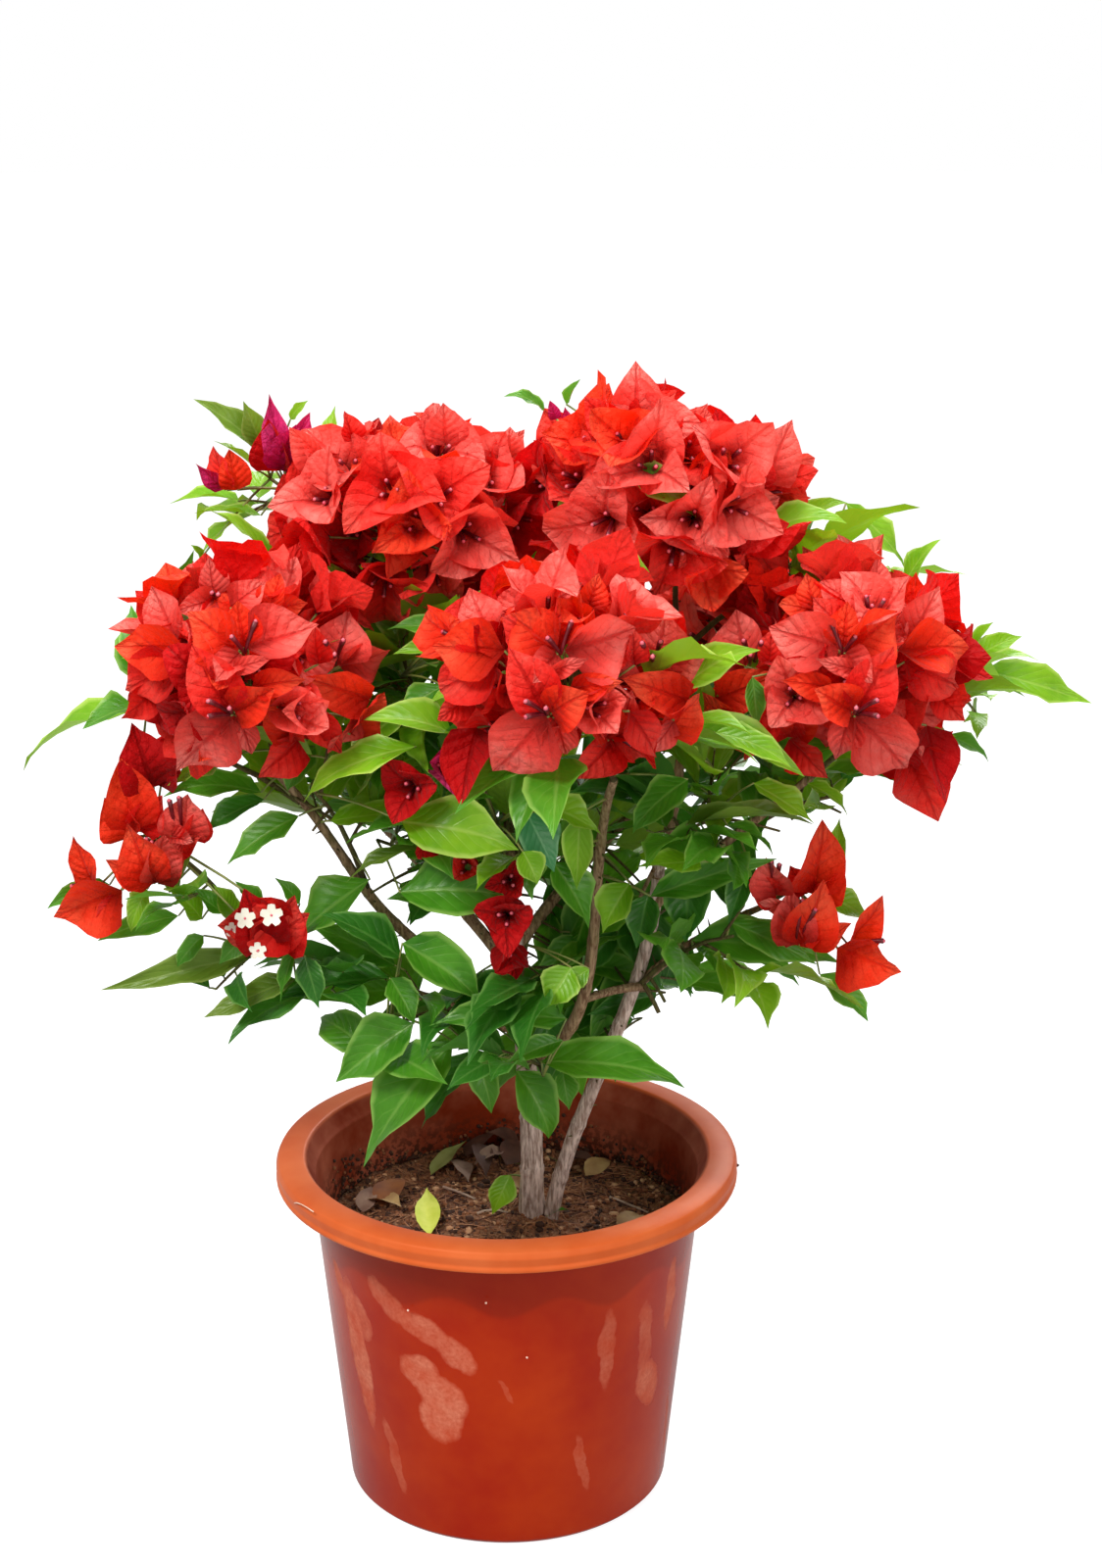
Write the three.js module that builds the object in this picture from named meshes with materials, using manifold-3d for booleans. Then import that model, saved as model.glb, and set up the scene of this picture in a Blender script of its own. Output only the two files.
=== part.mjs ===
// A bougainvillea bush in its terracotta-coloured plastic pot, in millimetres, +Z up.
// The origin is the middle of the pot's underside, and the photograph looks along +Y.
import * as THREE from 'three';
import { mergeVertices } from 'three/addons/utils/BufferGeometryUtils.js';
import Module from 'manifold-3d';

const wasm = await Module();
wasm.setup();

// Driving dimensions of the pot and its soil.
const POT = {
  height: 230,
  rimRadius: 150,
  mouthRadius: 130,
  bodyTopRadius: 127.2,
  footRadius: 105,
  lipHeight: 15,
  lipWall: 2.6,
  wall: 3.5,
  floor: 5,
  facets: 34,
};
const SOIL = { depthAtStem: 52, depthAtWall: 60, flatRadius: 44 };
const CLEARANCE = 0.3;
const SOIL_TOP = POT.height - SOIL.depthAtStem;
const GOLDEN_ANGLE = Math.PI * (3 - Math.sqrt(5));
const UP = new THREE.Vector3(0, 0, 1);

// Leaves and bracts, as shares of their own length.
const LEAF = { thick: 1.7, half: 0.24, wideAt: 0.38, thickAt: 0.14, fold: 0.05, droop: 0.13, sunk: 0.7 };
const BRACT = { half: 0.4, wideAt: 0.46, cup: 0.1, curl: 0.04, notch: 0.1, above: 1.6, below: 2.6 };
const SHOOT = { sides: 4, steps: 4 };
const LIMB_CLEARANCE = 3;
const SPACE_CLEARANCE = 0.6;
const TRIES = 8;
const SLIVERS = [0.24, 0.22, 0.26, 0.2, 0.28, 0.18, 0.16, 0.14, 0.12, 0.1];
const FLOOR_OF_FOLIAGE = POT.height + 6;

// Each limb runs from a point inside the one it grows out of, through two points, to its tip.
const LIMBS = [
  { name: 'main_stem', from: [12, 0, SOIL_TOP - 6], past: [[14, 1, 262], [9, 7, 332]], to: [2, 12, 402],
    thick: 8.6, thin: 5, flare: 4.5 },
  { name: 'leaning_stem', from: [29, -4, SOIL_TOP - 6], past: [[53, -6, 268], [82, -10, 348]], to: [96, -20, 438],
    thick: 5.8, thin: 3.8, flare: 2.2 },
  { name: 'bough_front', from: [11, 4, 292], past: [[48, -34, 345], [57, -50, 425]], to: [66, -88, 508],
    thick: 4.4, thin: 2.6 },
  { name: 'bough_left', from: [7, 8, 326], past: [[-66, -12, 386], [-100, -30, 440]], to: [-137, -50, 500],
    thick: 4, thin: 2.4 },
  { name: 'bough_low_left', from: [10, 5, 308], past: [[-48, -10, 338], [-104, -22, 362]], to: [-150, -34, 382],
    thick: 3.4, thin: 2.2 },
  { name: 'bough_top_left', from: [2, 12, 388], past: [[-18, 14, 450], [-34, 16, 510]], to: [-47, 18, 568],
    thick: 4.4, thin: 2.6 },
  { name: 'bough_top_right', from: [94, -18, 422], past: [[106, -10, 472], [110, -2, 522]], to: [106, 6, 570],
    thick: 3.6, thin: 2.4 },
  { name: 'bough_low_right', from: [82, -10, 346], past: [[112, -16, 374], [138, -24, 394]], to: [164, -32, 410],
    thick: 3.2, thin: 2 },
  { name: 'bough_right', from: [91, -15, 400], past: [[122, -28, 436], [156, -42, 470]], to: [186, -54, 500],
    thick: 3.4, thin: 2.2 },
  { name: 'bough_back_left', from: [6, 9, 346], past: [[-38, 40, 392], [-78, 66, 426]], to: [-118, 90, 458],
    thick: 4, thin: 2.4 },
  { name: 'bough_back', from: [3, 12, 374], past: [[2, 52, 418], [-2, 92, 460]], to: [-8, 128, 506],
    thick: 4, thin: 2.4 },
  { name: 'bough_back_right', from: [4, 11, 360], past: [[44, 42, 404], [82, 70, 436]], to: [120, 94, 466],
    thick: 4, thin: 2.4 },
];

// Flower heads: domes of three-bract flowers over a collar of leaves.
const HEADS = [
  { name: 'flower_head_left', limb: 'bough_left', tip: [-150, -80, 578], wide: 62, tall: 50, flowers: 11 },
  { name: 'flower_head_top_left', limb: 'bough_top_left', tip: [-60, 18, 650], wide: 70, tall: 42, flowers: 11 },
  { name: 'flower_head_top_right', limb: 'bough_top_right', tip: [103, 8, 662], wide: 64, tall: 50, flowers: 12 },
  { name: 'flower_head_front', limb: 'bough_front', tip: [36, -142, 588], wide: 62, tall: 50, flowers: 12 },
  { name: 'flower_head_right', limb: 'bough_right', tip: [200, -62, 570], wide: 64, tall: 50, flowers: 12 },
  { name: 'flower_head_back_left', limb: 'bough_back_left', tip: [-150, 104, 530], wide: 60, tall: 44, flowers: 9 },
  { name: 'flower_head_back', limb: 'bough_back', tip: [-6, 170, 590], wide: 60, tall: 44, flowers: 9 },
  { name: 'flower_head_back_right', limb: 'bough_back_right', tip: [158, 118, 536], wide: 60, tall: 44, flowers: 9 },
];

// Leafy masses: each is one shoot with leaves, and some carry a few flowers at the tip.
const SPRAYS = [
  { name: 'spray_low_left', limb: 'bough_low_left', tip: [-222, -42, 462], reach: 50, twigs: 7, flowers: 5 },
  { name: 'spray_low_right', limb: 'bough_low_right', tip: [182, -52, 426], reach: 44, twigs: 6,
    leafScale: 0.8, flowers: 4 },
  { name: 'spray_top_left', limb: 'bough_top_left', foot: [-44, 17, 556], tip: [-146, 50, 662], reach: 42,
    spread: 66, twigs: 6, leafScale: 0.75, flowers: 2 },
  { name: 'spray_right', limb: 'bough_right', foot: [180, -52, 493], tip: [296, 18, 540], reach: 44, twigs: 5,
    leafScale: 0.8, flowers: 0 },
  { name: 'spray_far_left', limb: 'bough_left', foot: [-124, -44, 480], tip: [-226, -10, 510], reach: 60,
    spread: 48, twigs: 4, flowers: 0 },
  { name: 'spray_upper_right', limb: 'bough_top_right', foot: [107, 5, 560], tip: [202, 40, 612], reach: 48,
    twigs: 5, flowers: 0 },
  { name: 'leaves_upper_left', limb: 'bough_top_left', foot: [-28, 15, 492], tip: [-62, -28, 556], reach: 50,
    twigs: 6, flowers: 0 },
  { name: 'leaves_under_left', limb: 'bough_left', foot: [-86, -23, 418], tip: [-112, -84, 500], reach: 50, twigs: 6,
    flowers: 0 },
  { name: 'leaves_mid_left', limb: 'main_stem', foot: [4, 10, 376], tip: [-78, -44, 456], reach: 58, twigs: 7,
    flowers: 0 },
  { name: 'leaves_inner', limb: 'main_stem', foot: [10, 7, 330], tip: [14, -72, 398], reach: 52, twigs: 6,
    flowers: 0 },
  { name: 'leaves_middle', limb: 'main_stem', foot: [2, 12, 396], tip: [-4, -66, 474], reach: 58, twigs: 8,
    flowers: 2 },
  { name: 'leaves_mid_right', limb: 'leaning_stem', tip: [128, -74, 484], reach: 62, twigs: 8, flowers: 0 },
  { name: 'leaves_far_right', limb: 'bough_right', foot: [126, -30, 440], tip: [208, 2, 470], reach: 46,
    spread: 46, twigs: 5, flowers: 0 },
  { name: 'leaves_far_left', limb: 'bough_low_left', foot: [-52, -11, 339], tip: [-164, -60, 394], reach: 52,
    spread: 62, twigs: 7, flowers: 0 },
  { name: 'leaves_low_left', limb: 'main_stem', foot: [8, 7, 318], tip: [-72, -78, 346], reach: 58, twigs: 7,
    flowers: 0 },
  { name: 'leaves_low_front', limb: 'main_stem', foot: [13, 3, 284], tip: [24, -96, 322], reach: 56, twigs: 6,
    flowers: 0 },
  { name: 'leaves_low_right', limb: 'leaning_stem', foot: [80, -9, 342], tip: [140, -68, 402], reach: 48,
    twigs: 5, flowers: 0 },
  { name: 'leaves_back_left', limb: 'main_stem', foot: [6, 9, 352], tip: [-96, 92, 452], reach: 62, twigs: 7,
    flowers: 0 },
  { name: 'leaves_back_right', limb: 'main_stem', foot: [6, 9, 358], tip: [108, 100, 462], reach: 62, twigs: 7,
    seed: 41, flowers: 0 },
  { name: 'leaves_back', limb: 'main_stem', foot: [7, 8, 344], tip: [4, 118, 446], reach: 62, twigs: 7,
    flowers: 0 },
];

const COLOURS = {
  pot: { color: 0xb8431c, roughness: 0.35 },
  soil: { color: 0x4a2f20, roughness: 0.95 },
  bark: { color: 0x8a6a55, roughness: 0.85 },
  bracts: { color: 0xe0261c, roughness: 0.6 },
  leaves: { color: 0x4f8f24, roughness: 0.5 },
};

function vector(numbers) {
  return new THREE.Vector3(...numbers);
}

// Seeded draws between two limits: the same seed gives the same plant.
function dice(seed) {
  let state = (seed * 2654435761) % 4294967296;
  const draw = (low, high) => {
    state = (state * 1664525 + 1013904223) % 4294967296;
    return low + ((high - low) * state) / 4294967296;
  };
  draw(0, 1);
  draw(0, 1);
  return draw;
}

// Two directions at right angles to a third.
function crossDirections(direction) {
  const reference = Math.abs(direction.z) < 0.8 ? UP : new THREE.Vector3(0, 1, 0);
  const first = new THREE.Vector3().crossVectors(reference, direction).normalize();
  const second = new THREE.Vector3().crossVectors(direction, first).normalize();
  return [first, second];
}

// A sum of directions, each given with its share, made one unit long.
function mixed(...shares) {
  const sum = new THREE.Vector3();
  for (const [direction, share] of shares) {
    sum.addScaledVector(direction, share);
  }
  return sum.normalize();
}

// What is left of a direction once the part of it along an axis is taken away.
function squareTo(direction, axis) {
  return direction.clone().addScaledVector(axis, -direction.dot(axis)).normalize();
}

// The cubic curve that passes a third and two thirds of its way through the two middle points.
function limbCurve(limb) {
  const [start, low, high, end] = [limb.from, ...limb.past, limb.to].map(vector);
  const blend = (a, b, c, d) =>
    start.clone().multiplyScalar(a).addScaledVector(low, b).addScaledVector(high, c)
      .addScaledVector(end, d).divideScalar(6);
  return new THREE.CubicBezierCurve3(start, blend(-5, 18, -9, 2), blend(2, -9, 18, -5), end);
}

// The shoot of a mass arches up from its foot to its tip.
function shootCurve(foot, tip) {
  const knee = foot.clone().lerp(tip, 0.5).addScaledVector(UP, 0.16 * foot.distanceTo(tip));
  return new THREE.QuadraticBezierCurve3(foot, knee, tip);
}

// Closed solid of a three.js geometry. Faces whose corners have run together are left out.
function solid(geometry) {
  const bare = geometry.clone();
  bare.deleteAttribute('normal');
  bare.deleteAttribute('uv');
  const merged = mergeVertices(bare, 1e-4);
  const corners = [];
  for (let i = 0; i < merged.index.count; i += 3) {
    const [a, b, c] = [0, 1, 2].map((step) => merged.index.getX(i + step));
    if (a !== b && b !== c && c !== a) {
      corners.push(a, b, c);
    }
  }
  return new wasm.Manifold(new wasm.Mesh({
    numProp: 3,
    vertProperties: new Float32Array(merged.getAttribute('position').array),
    triVerts: new Uint32Array(corners),
  }));
}

// A closed form through rings of points, with a middle point at each end: a cylinder whose
// corners are moved. Rings run clockwise, seen from the top, and their points may repeat.
function ringForm(bottom, rings, top) {
  const sides = rings[0].length;
  const steps = rings.length - 1;
  const form = new THREE.CylinderGeometry(1, 1, 1, sides, steps);
  const place = form.getAttribute('position');
  for (let i = 0; i < place.count; i++) {
    const [x, height, z] = [place.getX(i), place.getY(i), place.getZ(i)];
    const turn = Math.round((Math.atan2(x, z) / (2 * Math.PI)) * sides);
    const corner = rings[Math.round((height + 0.5) * steps)][(2 * sides - turn) % sides];
    const point = Math.hypot(x, z) > 0.5 ? corner : height > 0 ? top : bottom;
    place.setXYZ(i, point.x, point.y, point.z);
  }
  return solid(form);
}

// A tube that tapers along a curve: a cylinder whose rings are moved onto it.
function taperedTube(curve, radiusAt, sides, steps, endGap = 0) {
  const form = new THREE.CylinderGeometry(1, 1, 1, sides, steps);
  const frames = curve.computeFrenetFrames(steps, false);
  const place = form.getAttribute('position');
  for (let i = 0; i < place.count; i++) {
    const step = Math.round((place.getY(i) + 0.5) * steps);
    const centre = curve.getPoint(step / steps);
    if (step === steps) {
      centre.addScaledVector(frames.tangents[step], endGap);
    }
    const radius = radiusAt(step / steps);
    centre.addScaledVector(frames.normals[step], -radius * place.getX(i));
    centre.addScaledVector(frames.binormals[step], radius * place.getZ(i));
    place.setXYZ(i, centre.x, centre.y, centre.z);
  }
  return solid(form);
}

function limbRadius(limb, extra = 0) {
  const flare = limb.flare ?? 0;
  return (t) => THREE.MathUtils.lerp(limb.thick, limb.thin, t) + flare * Math.exp(-t * 14) + extra;
}

function limbSolid(limb, extra = 0) {
  return taperedTube(limbCurve(limb), limbRadius(limb, extra), limb.flare ? 9 : 6, 6, extra);
}

// A mass's shoot is as thick as its limb's tip at the foot, and thins to a twig.
function shootRadius(extra = 0) {
  return (t) => THREE.MathUtils.lerp(2.1, 1.2, t) + extra;
}

// A thin closed blade: a double pyramid with the outline as its rim and its two points in the
// middle of the upper and the lower side. The outline runs clockwise, seen from above.
function blade(outline, upper, lower) {
  const form = new THREE.SphereGeometry(1, outline.length, 2);
  const place = form.getAttribute('position');
  for (let i = 0; i < place.count; i++) {
    const turn = Math.atan2(place.getZ(i), place.getX(i)) / (2 * Math.PI);
    const rim = outline[(Math.round(turn * outline.length) + outline.length) % outline.length];
    const height = place.getY(i);
    const point = Math.abs(height) < 0.5 ? rim : height > 0 ? upper : lower;
    place.setXYZ(i, point.x, point.y, point.z);
  }
  return solid(form);
}

// Points of a blade in its own axes, moved to where it grows.
function placer(blade) {
  const side = new THREE.Vector3().crossVectors(blade.face, blade.axis);
  return (along, across, height) =>
    blade.root.clone().addScaledVector(blade.axis, along).addScaledVector(side, across)
      .addScaledVector(blade.face, height);
}

function leafPoints(leaf) {
  const at = placer(leaf);
  const long = leaf.length;
  const wide = LEAF.half * long;
  const rim = [
    at(-LEAF.sunk, 0, 0),
    at(LEAF.wideAt * long, wide, LEAF.fold * long),
    at(long, 0, -LEAF.droop * long),
    at(LEAF.wideAt * long, -wide, LEAF.fold * long),
  ];
  const middle = (height) => at(LEAF.thickAt * long, 0, height);
  return { rim, upper: middle(LEAF.thick / 2), lower: middle(-LEAF.thick / 2) };
}

// The three bracts of one flower, as one blade with three lobes round the way that it faces.
function flowerPoints(flower) {
  const [first, second] = crossDirections(flower.facing);
  const long = flower.size;
  const rim = [0, 1, 2].flatMap((number) => {
    const turn = flower.spin - (number * 2 * Math.PI) / 3;
    const outward = mixed([first, Math.cos(turn)], [second, Math.sin(turn)]);
    const side = new THREE.Vector3().crossVectors(outward, flower.facing);
    const axis = mixed([flower.facing, Math.cos(flower.open)], [outward, Math.sin(flower.open)]);
    const face = mixed([flower.facing, Math.sin(flower.open)], [outward, -Math.cos(flower.open)]);
    const at = (along, across, height) =>
      flower.seat.clone().addScaledVector(axis, along * long).addScaledVector(side, across * long)
        .addScaledVector(face, height * long);
    const gap = mixed([outward, Math.cos(Math.PI / 3)], [side, Math.sin(Math.PI / 3)]);
    return [
      at(BRACT.wideAt, -BRACT.half, BRACT.cup),
      at(1, 0, -BRACT.curl),
      at(BRACT.wideAt, BRACT.half, BRACT.cup),
      flower.seat.clone().addScaledVector(gap, BRACT.notch * long),
    ];
  });
  const middle = (height) => flower.seat.clone().addScaledVector(flower.facing, height);
  return { rim, upper: middle(BRACT.above), lower: middle(-BRACT.below) };
}

// Points over a blade, by which its place is tested.
function testPoints(points) {
  const centre = points.upper;
  return points.rim.flatMap((corner, i) => {
    const next = points.rim[(i + 1) % points.rim.length];
    return [corner, corner.clone().lerp(next, 0.5), corner.clone().lerp(centre, 0.5)];
  }).concat([centre]);
}

// The plan of every mass: its shoot, the middle of its space and how far it spreads.
const limbByName = new Map(LIMBS.map((limb) => [limb.name, limb]));
const masses = [...HEADS, ...SPRAYS].map((mass, index) => {
  const foot = vector(mass.foot ?? limbByName.get(mass.limb).to);
  const tip = vector(mass.tip);
  const isHead = 'wide' in mass;
  return {
    ...mass,
    isHead,
    shoot: shootCurve(foot, tip),
    tip,
    middle: isHead ? tip : foot.clone().lerp(tip, 0.8),
    spread: mass.spread ?? (isHead ? 88 : mass.reach + 22),
    reach: mass.reach ?? 62,
    twigs: mass.twigs ?? 5,
    leafScale: mass.leafScale ?? 1,
    seed: mass.seed ?? index + 1,
    dome: new THREE.Vector3(mass.wide, mass.wide, mass.tall),
  };
});

// Straight stretches of every limb and shoot, which leaves and twigs keep clear of.
function stretches(curve, radiusAt, steps, owner) {
  return Array.from({ length: steps }, (_, i) => ({
    line: new THREE.Line3(curve.getPoint(i / steps), curve.getPoint((i + 1) / steps)),
    radius: radiusAt(i / steps),
    owner,
  }));
}
const obstacles = [
  ...LIMBS.flatMap((limb) => stretches(limbCurve(limb), limbRadius(limb), 8, limb.name)),
  ...masses.flatMap((mass) => stretches(mass.shoot, shootRadius(), SHOOT.steps, mass.name)),
];

// How far a point lies inside a mass's own space, from the plane it shares with each neighbour.
function depthInSpace(point, mass) {
  const own = point.distanceToSquared(mass.middle) - mass.spread ** 2;
  let depth = Infinity;
  for (const other of masses) {
    if (other !== mass) {
      const theirs = point.distanceToSquared(other.middle) - other.spread ** 2;
      depth = Math.min(depth, (theirs - own) / (2 * mass.middle.distanceTo(other.middle)));
    }
  }
  return depth;
}

// Whether points stay over the pot, in the mass's own space, and clear of limbs and other shoots.
function fits(points, mass) {
  const nearest = new THREE.Vector3();
  return points.every((point) =>
    point.z > FLOOR_OF_FOLIAGE &&
    depthInSpace(point, mass) > SPACE_CLEARANCE &&
    obstacles.every(({ line, radius, owner }) => {
      if (owner === mass.name) {
        return true;
      }
      line.closestPointToPoint(point, true, nearest);
      return nearest.distanceTo(point) > radius + LIMB_CLEARANCE;
    }));
}

// The upper side of a blade as triangles, and the edges of these, for the crossing test.
function sheetOf({ rim, upper }) {
  const faces = rim.map((corner, i) => [corner, rim[(i + 1) % rim.length], upper]);
  const edges = rim.flatMap((corner, i) => [[corner, rim[(i + 1) % rim.length]], [corner, upper]]);
  const reach = Math.max(...rim.map((corner) => corner.distanceTo(upper)));
  return { faces, edges, middle: upper, reach };
}

// A line has edges alone.
function sheetOfLine(points) {
  const edges = points.slice(1).map((point, i) => [points[i], point]);
  const middle = points[0].clone().lerp(points[points.length - 1], 0.5);
  return { faces: [], edges, middle, reach: middle.distanceTo(points[0]) };
}

const ray = new THREE.Ray();
const hit = new THREE.Vector3();
function pierces([from, to], [a, b, c]) {
  ray.origin.copy(from);
  ray.direction.copy(to).sub(from).normalize();
  return ray.intersectTriangle(a, b, c, false, hit) !== null && hit.distanceTo(from) < from.distanceTo(to);
}

// Whether two blades, or a blade and a twig, would pass through each other.
function crosses(sheet, other) {
  return sheet.middle.distanceTo(other.middle) < sheet.reach + other.reach &&
    (sheet.edges.some((edge) => other.faces.some((face) => pierces(edge, face))) ||
     other.edges.some((edge) => sheet.faces.some((face) => pierces(edge, face))));
}

// Points along a twig, which leave out its root, because that is on the shoot.
function twigPoints(twig) {
  return [0.35, 0.6, 0.8, 1].map((t) => twig.from.clone().lerp(twig.to, t));
}

// The outward direction of the whole crown at a point.
function outwardAt(point) {
  return new THREE.Vector3(point.x - 30, point.y, 0).normalize();
}

// Where a flower's stalk leaves the shoot, which way it runs and how far. In a head the seats lie
// over the dome on a golden spiral that starts at its top, and in a spray they follow the shoot.
function stalkPlan(mass, number, draw) {
  const place = 0.97 - (0.55 * number) / mass.flowers;
  const from = mass.shoot.getPoint(place);
  if (!mass.isHead) {
    const along = mass.shoot.getTangent(place);
    const [first, second] = crossDirections(along);
    const around = number * GOLDEN_ANGLE + draw(-0.2, 0.2);
    const way = mixed([along, 0.5], [first, Math.cos(around)], [second, Math.sin(around)],
      [outwardAt(from), 0.4], [UP, 0.7]);
    return { from, way, reach: way.clone().multiplyScalar(draw(30, 46)), centre: from };
  }
  const lean = mixed([UP, 0.8], [outwardAt(mass.tip), 0.62]);
  const [first, second] = crossDirections(lean);
  const down = 1 - ((number + 0.5) / mass.flowers) * 1.45;
  const around = number * GOLDEN_ANGLE + draw(-0.2, 0.2);
  const flat = Math.sqrt(1 - down * down);
  const way = mixed([lean, down], [first, flat * Math.cos(around)], [second, flat * Math.sin(around)]);
  return { from, way, reach: mass.dome.clone().multiply(way), centre: mass.tip };
}

// A flower that doesn't fit turns and moves in, and after the last try it is left out.
function growFlowers(mass, placed) {
  const grown = [];
  for (let number = 0; number < mass.flowers; number++) {
    const draw = dice(1000 * mass.seed + number);
    const { from, way, reach, centre } = stalkPlan(mass, number, draw);
    const facing = mixed([way, 1], [UP, 0.1], [new THREE.Vector3(draw(-1, 1), draw(-1, 1), 0), 0.2]);
    const size = draw(42, 52);
    const open = draw(0.9, 1.2);
    for (let attempt = 0; attempt < TRIES; attempt++) {
      const seat = centre.clone().addScaledVector(reach, 1 - 0.06 * attempt);
      const flower = { seat, facing, open, spin: draw(0, 2.1), size: size * (1 - 0.02 * attempt) };
      const twig = { from, to: seat, thick: 1.5, thin: 0.9 };
      const points = flowerPoints(flower);
      const sheet = sheetOf(points);
      const stalk = sheetOfLine([from, seat.clone().lerp(from, 0.1)]);
      const free = !placed.some((other) => crosses(sheet, other) || crosses(stalk, other));
      if (free && fits([...testPoints(points), ...twigPoints(twig)], mass)) {
        grown.push({ flower, twig });
        placed.push(sheet, stalk);
        break;
      }
    }
  }
  return grown;
}

// Leafy side twigs leave the shoot on a golden angle. Each holds a leaf at its tip and one or two
// along it. A leaf that doesn't fit is turned and shortened, and then left out.
function growLeaves(mass, placed) {
  const grown = [];
  for (let number = 0; number < mass.twigs; number++) {
    const draw = dice(50000 + 1000 * mass.seed + number);
    const place = 0.3 + (0.66 * (number + 0.5)) / mass.twigs;
    const from = mass.shoot.getPoint(place);
    const along = mass.shoot.getTangent(place);
    const [first, second] = crossDirections(along);
    const around = number * GOLDEN_ANGLE + draw(-0.3, 0.3);
    const outward = outwardAt(from);
    const way = mixed([along, 0.35], [first, Math.cos(around)], [second, Math.sin(around)],
      [outward, 0.45], [UP, mass.isHead ? -0.15 : 0.05]);
    const to = from.clone().addScaledVector(way, mass.reach * draw(0.45, 0.85));
    const twig = { from, to, thick: 1.5, thin: 1 };
    const stalk = sheetOfLine([from, to]);
    if (!fits(twigPoints(twig), mass) || placed.some((other) => crosses(stalk, other))) {
      continue;
    }
    const leaves = [];
    let atTip = null;
    const side = squareTo(new THREE.Vector3().crossVectors(way, UP), way);
    [1, 0.62, 0.3].forEach((share, order) => {
      const turnAside = order === 0 ? 0 : 0.95 * (order === 1 ? 1 : -1);
      const length = draw(54, 86) * mass.leafScale;
      const sag = draw(0.05, 0.4);
      const tilt = draw(-0.35, 0.35);
      for (let attempt = 0; attempt < TRIES; attempt++) {
        const sideways = turnAside + tilt + 0.5 * attempt * (attempt % 2 ? 1 : -1);
        const axis = mixed([way, 1], [side, sideways], [UP, -sag], [outward, 0.15]);
        const face = squareTo(mixed([UP, 0.75], [outward, 0.5], [side, tilt]), axis);
        const root = from.clone().lerp(to, share);
        const leaf = { root, axis, face, length: length * (1 - 0.05 * attempt) };
        const points = leafPoints(leaf);
        const sheet = sheetOf(points);
        const clear = testPoints(points).filter((point) => point.distanceTo(root) > 4);
        if (fits(clear, mass) && !placed.some((other) => crosses(sheet, other))) {
          if (order === 0) {
            atTip = leaf;
          } else {
            leaves.push(leaf);
          }
          placed.push(sheet);
          break;
        }
      }
    });
    if (atTip || leaves.length) {
      grown.push({ twig, atTip, leaves });
      placed.push(stalk);
    }
  }
  return grown;
}

// The three corners of a twig round a point, as a ring of four for a leaf's two sides and two edges.
function twigRing(centre, way, face, radius) {
  const up = squareTo(face, way);
  const side = new THREE.Vector3().crossVectors(up, way);
  const corner = (across, height) =>
    centre.clone().addScaledVector(side, across * radius).addScaledVector(up, height * radius);
  return [corner(0, 1), corner(0.87, -0.5), corner(0.87, -0.5), corner(-0.87, -0.5)];
}

// A three-sided twig, which runs into the leaf at its tip if it has one there.
function twigSolid({ from, to, thick, thin }, leaf) {
  const way = to.clone().sub(from).normalize();
  if (!leaf) {
    return ringForm(from, [twigRing(from, way, UP, thick), twigRing(to, way, UP, thin)], to);
  }
  const { rim, upper, lower } = leafPoints(leaf);
  const [, right, tip, left] = rim;
  return ringForm(from, [
    twigRing(from, way, leaf.face, thick),
    twigRing(to, mixed([way, 1], [leaf.axis, 1]), leaf.face, thin),
    [upper, right, lower, left],
    [tip, tip, tip, tip],
  ], tip);
}

function leafSolid(leaf) {
  const { rim, upper, lower } = leafPoints(leaf);
  return blade(rim, upper, lower);
}

// A flower on its three-sided stalk, whose corners run up to the gaps between the bracts.
function flowerSolid(flower, { from, thick, thin }) {
  const { rim, upper, lower } = flowerPoints(flower);
  const way = flower.seat.clone().sub(from).normalize();
  const gaps = [3, 7, 11].map((i) => rim[i].clone().sub(flower.seat).normalize());
  const ring = (corners) => rim.map((_, i) => corners[(i % 4 ? Math.floor(i / 4) : i / 4 + 2) % 3]);
  const low = gaps.map((gap) => from.clone().addScaledVector(squareTo(gap, way), thick));
  const high = gaps.map((gap) => lower.clone().addScaledVector(gap, thin));
  return ringForm(from, [ring(low), ring(high), rim], upper);
}

// The largest piece of a solid: loose scraps that a cut leaves are dropped.
function largest(whole) {
  return whole.decompose().reduce((best, piece) => (piece.volume() > best.volume() ? piece : best));
}

// Whether every edge has two faces once the corners are rounded to what a file keeps.
function isSound(form) {
  const { vertProperties, triVerts } = form.getMesh();
  const corners = Array.from({ length: vertProperties.length / 3 }, (_, i) =>
    [0, 1, 2].map((step) => vertProperties[3 * i + step].toFixed(3)).join());
  const faces = new Map();
  for (let i = 0; i < triVerts.length; i++) {
    const next = i % 3 === 2 ? i - 2 : i + 1;
    const edge = [corners[triVerts[i]], corners[triVerts[next]]].sort().join();
    faces.set(edge, (faces.get(edge) ?? 0) + 1);
  }
  return [...faces.values()].every((count) => count === 2);
}

// A solid without its smallest slivers: the first tolerance that leaves it whole and sound is taken.
function tidied(form) {
  for (const tolerance of SLIVERS) {
    const simpler = form.asOriginal().simplify(tolerance);
    if (simpler.decompose().length === 1 && isSound(simpler)) {
      return simpler;
    }
  }
  return form;
}

function massSolid(mass, limbsSwollen, shootsSwollen) {
  const pieces = [taperedTube(mass.shoot, shootRadius(), SHOOT.sides, SHOOT.steps)];
  for (const { flower, twig } of mass.grownFlowers) {
    pieces.push(flowerSolid(flower, twig));
  }
  for (const { twig, atTip, leaves } of mass.grownLeaves) {
    pieces.push(twigSolid(twig, atTip), ...leaves.map(leafSolid));
  }
  const others = shootsSwollen.filter((shoot) => shoot.owner !== mass.name).map((shoot) => shoot.form);
  const fused = wasm.Manifold.union(pieces);
  return tidied(largest(fused.subtract(wasm.Manifold.union([limbsSwollen, ...others]))));
}

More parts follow.
